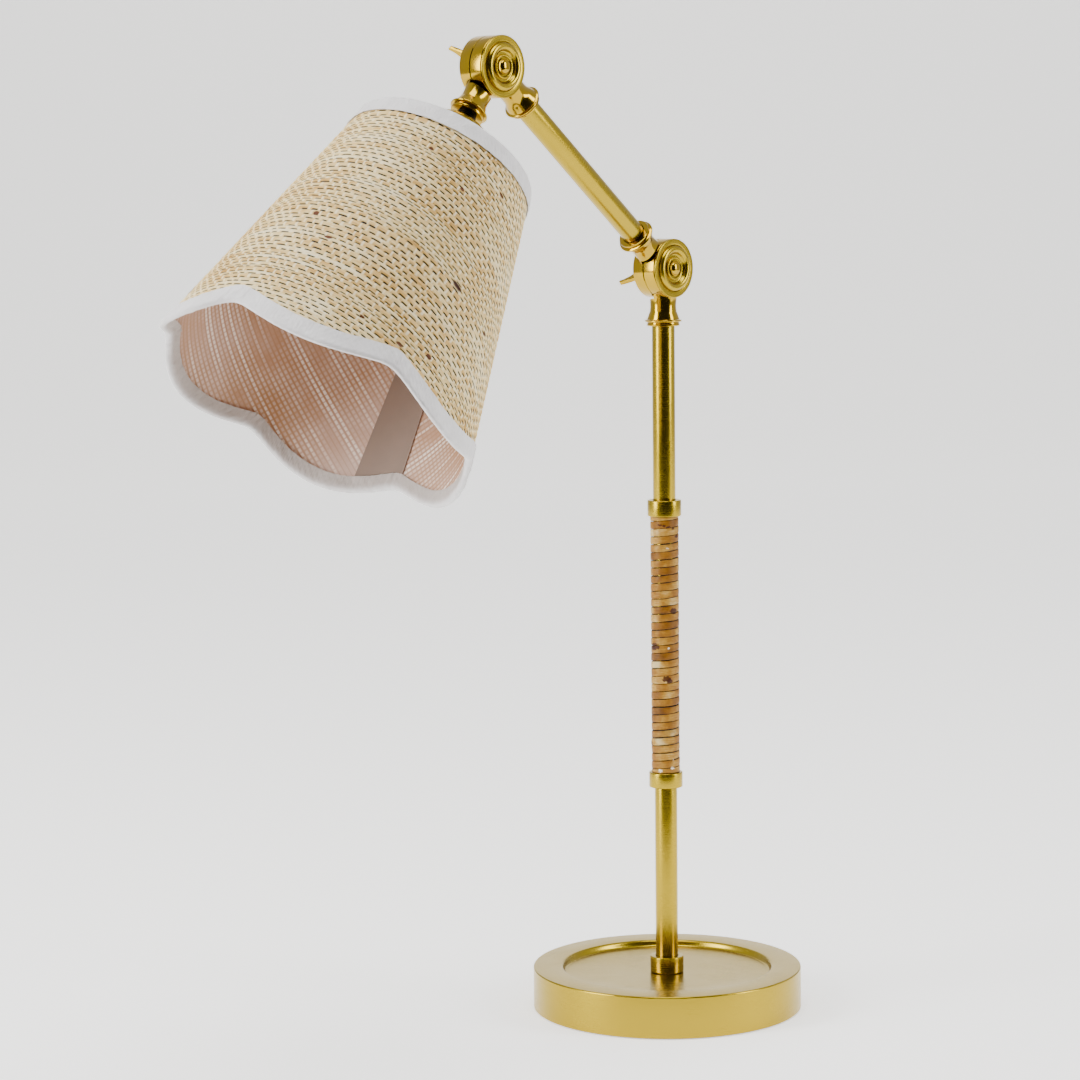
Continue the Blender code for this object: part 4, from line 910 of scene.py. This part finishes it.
def makeHolder():
    size = holderSizes
    stud = threadOutline(3.5, 5.0, size["threadTop"], size["threadEnd"], size["threadPitch"], 0.45)
    fit(turnOnLathe("headNipple", dropped(stud), atHead, 48), blackSteel, "head", "dark_steel", "head_nipple")

    top, mouth = size["cupTop"], size["cupMouth"]
    dome = curvePoints((8.6, top), (18.8, top + 0.6), (19.6, top + 10.0), 10)
    inner = [(r - 1.2, drop + 1.1) for r, drop in dome]
    outline = [(5.3, top), (7.8, top)] + dome + [(19.6, mouth - 2.4)]
    outline += arcPoints((19.45, mouth - 1.2), 0.5, -60, 60, 4) + [(19.5, mouth), (18.4, mouth)]
    outline += inner[::-1] + [(5.3, top + 1.1)]
    fit(turnOnLathe("holderCup", dropped(outline), atHead, 96), satinBrass, "head", "satin_brass", "holder_cup")

    skirt, end, ring = size["skirt"], size["bodyEnd"], size["ring"]
    outline = [(3.5, size["bodyTop"]), (size["neck"] - 1, size["bodyTop"]), (size["neck"], size["bodyTop"] + 1),
               (size["neck"], mouth + 0.3), (skirt, mouth + 0.3), (skirt, size["shoulder"])]
    outline += arcPoints((21.9, size["shoulder"] + 0.6), 0.6, -90, 0, 3)
    outline += arcPoints((21.9, ring - 0.9), 0.6, 0, 90, 3) + [(skirt - 0.6, ring - 0.3)]
    pitch = 2.0
    for number in range(9):
        low = ring + 2.4 + number * pitch
        outline += [(skirt - 0.7, low), (skirt, low + 0.6), (skirt, low + 1.0), (skirt - 0.7, low + 1.6)]
    outline += [(skirt - 0.7, end - 0.7), (skirt - 1.4, end), (size["bulbBore"], end),
                (size["bulbBore"], size["seat"]), (3.5, size["seat"])]
    body = turnOnLathe("holderBody", dropped(outline), atHead, 96)
    knobAxis = atHead @ Matrix.Translation((0, 0, -size["knob"] * mm)) @ toBack
    shaftHole = turnOnLathe("shaftHole", [(0, 13), (2.3, 13), (2.3, 30), (0, 30)], knobAxis, 32, ring=False)
    combine(body, shaftHole, "DIFFERENCE")
    smooth(body)
    fit(body, phenolic, "head", "phenolic", "holder_body")

    # the ring nut has a knurled edge, made by ribs that stand on it
    outline = ringOutline(skirt + 0.3, 23.5, ring + 1.9, ring + 8.0, 0.5)
    nut = turnOnLathe("shadeRetainingRing", dropped(outline), atHead, 72)
    pushRibs(nut, atHead, 36, 23.2, 0.45)
    fit(nut, phenolic, "head", "phenolic", "shade_retaining_ring")

    outline = [(0, 13.5), (2.0, 13.5), (2.0, 23.2), (5.2, 23.2), (5.6, 23.7), (5.75, 24.6), (5.5, 31.2)]
    outline += curvePoints((5.4, 31.8), (5.0, 33.1), (3.4, 33.2), 4) + [(0, 33.2)]
    knob = turnOnLathe("switchKnob", outline, knobAxis, 72, ring=False)
    pushRibs(knob, knobAxis, 18, 5.3, 0.35)
    fit(knob, phenolic, "switch_knob", "phenolic", "switch_knob")
    print("lamp holder is made")


def pushRibs(piece, place, count, beyond, height):
    # pushes every point past a radius out into ribs, each a few steps wide
    back = place.inverted()
    for vert in piece.data.vertices:
        local = back @ vert.co
        radius = hypot(local.x, local.y)
        if radius > beyond * mm:
            push = height * mm * max(0.0, cos(count * atan2(local.y, local.x)))
            local.x *= 1 + push / radius
            local.y *= 1 + push / radius
            vert.co = place @ local


def makeBulb():
    size = bulbSizes
    top, end = size["capTop"], size["capEnd"]
    outline = [(0, top), (3.6, top), (4.6, top + 1.0), (8.6, top + 2.0), (12.2, top + 3.6)]
    pitch = 3.6
    for number in range(5):
        low = top + 4.4 + number * pitch
        outline += curvePoints((12.1, low), (size["cap"] + 0.9, low + pitch / 2), (12.1, low + pitch - 0.2), 4)
    outline += [(12.6, top + 23.2), (12.6, end - 0.6), (12.0, end), (0, end)]
    cap = turnOnLathe("bulbCap", dropped(outline), atHead, 64, ring=False)
    fit(cap, zincSteel, "head", "plain_steel", "bulb_cap")
    centre = size["tip"] - size["globe"]
    globe = arcPoints((0, centre), size["globe"], 90, -47, 24)
    neck = curvePoints((size["neck"], 97.1), (size["neck"] + 0.3, 103.0), globe[-1], 6)
    outline = [(0, 97.1)] + neck[:-1] + globe[::-1][:-1] + [(0, size["tip"])]
    globe = turnOnLathe("bulbGlobe", dropped(outline), atHead, 96, ring=False)
    fit(globe, opal, "head", "opal_glass", "bulb_globe")
    print("bulb is made")


# shade
shadeSizes = {
    "top": 59.5, "topRadius": 49.5, "slope": 0.2307, "notch": 211.8, "scallop": 9.4, "scallops": 6, "turn": 7.4,
    "tape": 0.6, "cloth": 0.8, "film": 0.4, "gap": 0.3, "outerLeg": 10.0, "innerLeg": 8.0, "seam": (5.0, 24.5),
    "tapeInside": 3.0,                           # how far in the tape's inner leg lies
    "middle": 130.0, "halfway": 140.0,           # drops halfway down the axis and down the wall
}


def coneRadius(drop):
    return shadeSizes["topRadius"] + shadeSizes["slope"] * (drop - shadeSizes["top"])


def edgeDrop(angle):
    # the lower edge: round lobes that meet in soft notches
    soft = 0.2
    wave = sqrt(sin(shadeSizes["scallops"] / 2 * (angle - radians(shadeSizes["turn"]))) ** 2 + soft ** 2) - soft
    return shadeSizes["notch"] + shadeSizes["scallop"] * wave / (sqrt(1 + soft ** 2) - soft)


def notchNearness(angle):
    # 1 in a notch, falling to 0 a few millimetres away
    lobe = 2 * pi / shadeSizes["scallops"]
    off = (angle - radians(shadeSizes["turn"]) + lobe / 2) % lobe - lobe / 2
    return exp(-(off / radians(5.0)) ** 2)


def steppedShares(count, spread, seed):
    # count steps of uneven size that add up to 1, as the shares where each one starts
    sizes = [1 + spread * noise.noise(Vector((number * 1.7, seed, 0.5))) * 1.6 for number in range(count)]
    whole = sum(sizes)
    shares = [0.0]
    for one in sizes:
        shares.append(shares[-1] + one / whole)
    return shares


def between(shares, position):
    # the share at a place counted in steps
    low = min(int(floor(position + 1e-9)), len(shares) - 2)
    return shares[low] + (shares[low + 1] - shares[low]) * (position - low)


slantPerDrop = sqrt(1 + shadeSizes["slope"] ** 2)
coneSine = shadeSizes["slope"] / slantPerDrop
apexDrop = shadeSizes["top"] - shadeSizes["topRadius"] / shadeSizes["slope"]
seamAngle = radians(sum(shadeSizes["seam"]) / 2)
flatLow = (shadeSizes["top"] - apexDrop) * slantPerDrop * cos(pi * coneSine)
flatHalf = weave["columns"] * weave["columnPitch"] / 2


def flatPlace(angle, drop, near=None):
    # where a point of the wall lies on the flat cloth, cut with its seam opposite the middle
    reference = angle if near is None else near
    middle = (reference - seamAngle) % (2 * pi) - pi
    fan = (middle + (angle - reference + pi) % (2 * pi) - pi) * coneSine
    slant = (drop - apexDrop) * slantPerDrop
    return slant * sin(fan), slant * cos(fan)


def setFlatMap(piece, place):
    # gives a rolled wall the cloth's own cells as its UV map
    back = place.inverted()
    layer = piece.data.uv_layers.active.data
    for face in piece.data.polygons:
        centre = back @ face.center
        near = atan2(centre.y, centre.x)
        for corner in face.loop_indices:
            spot = back @ piece.data.vertices[piece.data.loops[corner].vertex_index].co / mm
            wide, high = flatPlace(atan2(spot.y, spot.x), -spot.z, near)
            layer[corner].uv = ((wide + flatHalf) / weave["columnPitch"] / weave["columns"],
                                (high - flatLow) / weave["rowPitch"] / weave["rows"])


def makeCloth():
    # raffia is woven flat, then rolled: every third grid line is the border between two strips, each strip
    # is crowned and lifted over every second thread, and what lies past the cut goes to the edge and away
    size = shadeSizes
    columns, rows, perRow = weave["columns"], weave["rows"], 3
    columnShares = steppedShares(columns, 0.35, 4.0)
    rowShares = steppedShares(rows, 0.45, 8.0)
    top = size["top"] + size["tape"] + size["gap"]
    outside = size["tape"] + size["gap"]
    fanEnd = pi * coneSine - 0.0006
    trimmed = set()
    count = [0]

    def placeAt(around, down):
        x, y = around * columns, down * rows
        wide = (between(columnShares, x) - 0.5) * 2 * flatHalf
        high = flatLow + between(rowShares, y) * rows * weave["rowPitch"]
        sway = noise.noise(Vector((wide * 0.012, high * 0.02, 1.0))) * 1.6
        high += sway + noise.noise(Vector((wide * 0.06, y, 5.0))) * 0.25
        slant, fan = hypot(wide, high), atan2(wide, high)
        rolled = min(fanEnd, max(-fanEnd, fan))
        angle = rolled / coneSine + seamAngle + pi
        drop = slant / slantPerDrop + apexDrop
        edge = edgeDrop(angle) - size["tape"] - size["gap"]
        held = min(edge, max(top, drop))
        if held != drop or rolled != fan:
            trimmed.add(count[0])
        count[0] += 1
        inStrip = 0.0 if abs(y - round(y)) < 1e-6 else 1.0
        over = 0.5 + 0.5 * cos(pi * (x + floor(y + 1e-6)))
        border = 0.5 + 0.5 * cos(pi * (x + round(y)))
        lift = inStrip * (0.16 + 0.20 * over) - (1 - inStrip) * 0.14 * border
        free = min(1.0, max(0.0, (held - size["top"] - size["outerLeg"]) / 1.2))
        free *= min(1.0, max(0.0, (edgeDrop(angle) - size["outerLeg"] - held) / 1.2))
        radius = coneRadius(held) - outside + lift * free
        return Vector((radius * cos(angle), radius * sin(angle), -held)) * mm

    cloth = rollStrip("shadeCloth", columns, rows * perRow, placeAt, None, 70, trimmed)
    setPlace(cloth, atHead)
    turnOut(cloth)
    thicken(cloth, size["cloth"], 75)
    fit(cloth, raffia, "head", "raffia", "shade_skin")
    declareWall(cloth, outside)
    print("raffia wall is made")


def declareWall(piece, offset):
    # the flat sheet is a fan with a scalloped outer edge, so its area is summed over narrow sectors
    area, sectors = 0.0, 360
    low = (shadeSizes["top"] + shadeSizes["tape"] + shadeSizes["gap"] - apexDrop) * slantPerDrop
    for number in range(sectors):
        deep = edgeDrop(2 * pi * number / sectors) - shadeSizes["tape"] - shadeSizes["gap"]
        area += ((deep - apexDrop) * slantPerDrop) ** 2 - low ** 2
    area *= pi * coneSine / sectors * (1 - offset / coneRadius(shadeSizes["halfway"]))
    print(piece.name, "flat area", round(area * mm * mm, 5))


def makeLining():
    size = shadeSizes
    top = size["top"] + size["tape"] + size["gap"]
    inset = size["tape"] + 2 * size["gap"] + size["cloth"]

    def wallAt(start, end, firstDrop, offset, bottomInset):
        def placeAt(around, down):
            angle = start + (end - start) * around
            drop = firstDrop + (edgeDrop(angle) - bottomInset - firstDrop) * down
            radius = coneRadius(drop) - offset
            return Vector((radius * cos(angle), radius * sin(angle), -drop)) * mm
        return placeAt

    whole = wallAt(0, 2 * pi, top, inset, size["tape"] + size["gap"])
    lining = rollStrip("shadeLining", 240, 60, whole, atHead)
    turnOut(lining)
    setFlatMap(lining, atHead)
    thicken(lining, size["film"], 40)
    fit(lining, film, "head", "shade_film", "shade_liner")
    declareWall(lining, inset)

    leg = size["innerLeg"] + 0.6
    offset = inset + size["film"] + size["gap"]
    start, end = (radians(side) for side in size["seam"])
    strip = rollStrip("shadeSeamStrip", 16, 60, wallAt(start, end, size["top"] + leg, offset, leg), atHead)
    turnOut(strip)
    thicken(strip, size["film"], 40)
    fit(strip, seamTape, "head", "seam_tape", "shade_seam_strip")
    print("lining is made")


tapeRound = (shadeSizes["tapeInside"] - shadeSizes["tape"] / 2) / 2


def tapePath(share):
    # the folded tape's middle line: depth inwards from the outside, and distance from the edge
    size, bend = shadeSizes, tapeRound
    outer, inner = size["tape"] / 2, size["tapeInside"]
    lengths = [size["outerLeg"] - bend, pi * bend, size["innerLeg"] - bend]
    run = share * sum(lengths)
    if run < lengths[0]:
        return outer, size["outerLeg"] - run, -1.0, 0.0
    run -= lengths[0]
    if run < lengths[1]:
        turn = run / bend
        return outer + bend - bend * cos(turn), bend - bend * sin(turn), -cos(turn), -sin(turn)
    run -= lengths[1]
    return inner, bend + run, 1.0, 0.0


def edgePoint(edgeAt, number):
    angle = 2 * pi * number / 720
    drop = edgeAt(angle)
    return Vector((coneRadius(drop) * cos(angle), coneRadius(drop) * sin(angle), -drop)) * mm


def makeTape(name, node, edgeAt, inward, loose):
    # cotton tape folded over an edge: a closed flat loop goes round, puckered where the edge turns sharply
    thick = shadeSizes["tape"] * 0.42
    pathSteps = 22

    def placeAt(around, across):
        angle = 2 * pi * around
        step = across * (2 * pathSteps + 2)
        if step <= pathSteps:
            share, side = step / pathSteps, 1.0
        elif step <= 2 * pathSteps + 1:
            share, side = (2 * pathSteps + 1 - step) / pathSteps, -1.0
        else:
            share, side = 0.0, 1.0
        depth, back, outDepth, outBack = tapePath(share)
        spot = Vector((cos(angle) * 9.0, sin(angle) * 9.0, share * 2.2))
        ripple = noise.noise(spot) * 0.55 + noise.noise(spot * 2.7) * 0.30
        pucker = loose * notchNearness(angle) * sin(angle * 120.0 + share * 7.0) * 0.55
        swell = abs(ripple + pucker) * 1.1
        depth += outDepth * (side * thick + swell)
        back += outBack * side * thick + 0.25 * noise.noise(spot * 1.3) * (1 if share in (0.0, 1.0) else 0)
        drop = edgeAt(angle) + inward * back
        radius = coneRadius(drop) - depth
        return Vector((radius * cos(angle), radius * sin(angle), -drop)) * mm

    tape = rollStrip(name, 540, 2 * pathSteps + 2, placeAt, atHead, 50)
    pick(tape)
    bpy.ops.object.mode_set(mode="EDIT")
    bpy.ops.mesh.select_all(action="SELECT")
    bpy.ops.mesh.normals_make_consistent(inside=False)
    bpy.ops.object.mode_set(mode="OBJECT")
    fit(tape, cotton, "head", "cotton_tape", node)
    girth = sum((edgePoint(edgeAt, number + 1) - edgePoint(edgeAt, number)).length for number in range(720))


def makeFitter():
    # the wire ring in the top tape, three spokes, and the ring that sits on the holder's shoulder
    drop, wire = shadeSizes["top"] + 4.5, 1.2
    wireRadius = coneRadius(drop) - 3.6 - 0.3 - wire
    plate = ringOutline(20.3, 24.5, 76.0, 77.6, 0.35)
    spider = turnOnLathe("shadeFitter", dropped(plate), None, 96)
    outline = [(wireRadius + x, drop + y) for x, y in arcPoints((0, 0), wire, 0, 337.5, 15)]
    combine(spider, turnOnLathe("wireRing", dropped(outline), None, 128), "UNION")
    inner, outer = Vector((23.6, 0, -76.8)), Vector((wireRadius, 0, -drop))
    run = outer - inner
    lean = Vector((0, 0, 1)).rotation_difference(run).to_matrix().to_4x4()
    for number in range(3):
        rod = [(0, 0), (1.0, 0), (1.0, run.length), (0, run.length)]
        turn = Matrix.Rotation(2 * pi * number / 3 + radians(30), 4, "Z")
        spoke = turnOnLathe("spoke", rod, turn @ Matrix.Translation(inner * mm) @ lean, 24, ring=False)
        combine(spider, spoke, "UNION")
    setPlace(spider, atHead)
    smooth(spider)
    fit(spider, zincSteel, "head", "plain_steel", "shade_fitter")
    print("fitter is made")


def makeShade():
    makeCloth()
    makeLining()
    makeTape("bottomTape", "shade_bottom_trim", edgeDrop, -1, 1.0)
    makeTape("topTape", "shade_top_trim", lambda angle: shadeSizes["top"], 1, 0.0)
    makeFitter()
    print("shade is made")


# CAD nodes that stay, all of them inside the lamp
keptNodes = {
    "base_weight": castIron, "base_washer": zincSteel, "base_lock_nut": zincSteel, "base_nipple": zincSteel,
    "pole_coupler_lower": zincSteel, "pole_coupler_upper": zincSteel, "holder_lock_nut": zincSteel,
    "holder_screw_shell": polishedBrass, "holder_contact": polishedBrass,
    "lower_elbow_washer": redFibre, "upper_elbow_washer": redFibre,
    "inner_lead_stand": leadSleeve, "inner_lead_arm": leadSleeve, "inner_lead_head": leadSleeve,
}

makeBase()
makePole()
makeWinding()
makeElbows()
makeHolder()
makeBulb()
makeShade()
for node, material in keptNodes.items():
    frame["nodes"][node].data.materials.clear()
    frame["nodes"][node].data.materials.append(material)
print("kept nodes have their finishes")
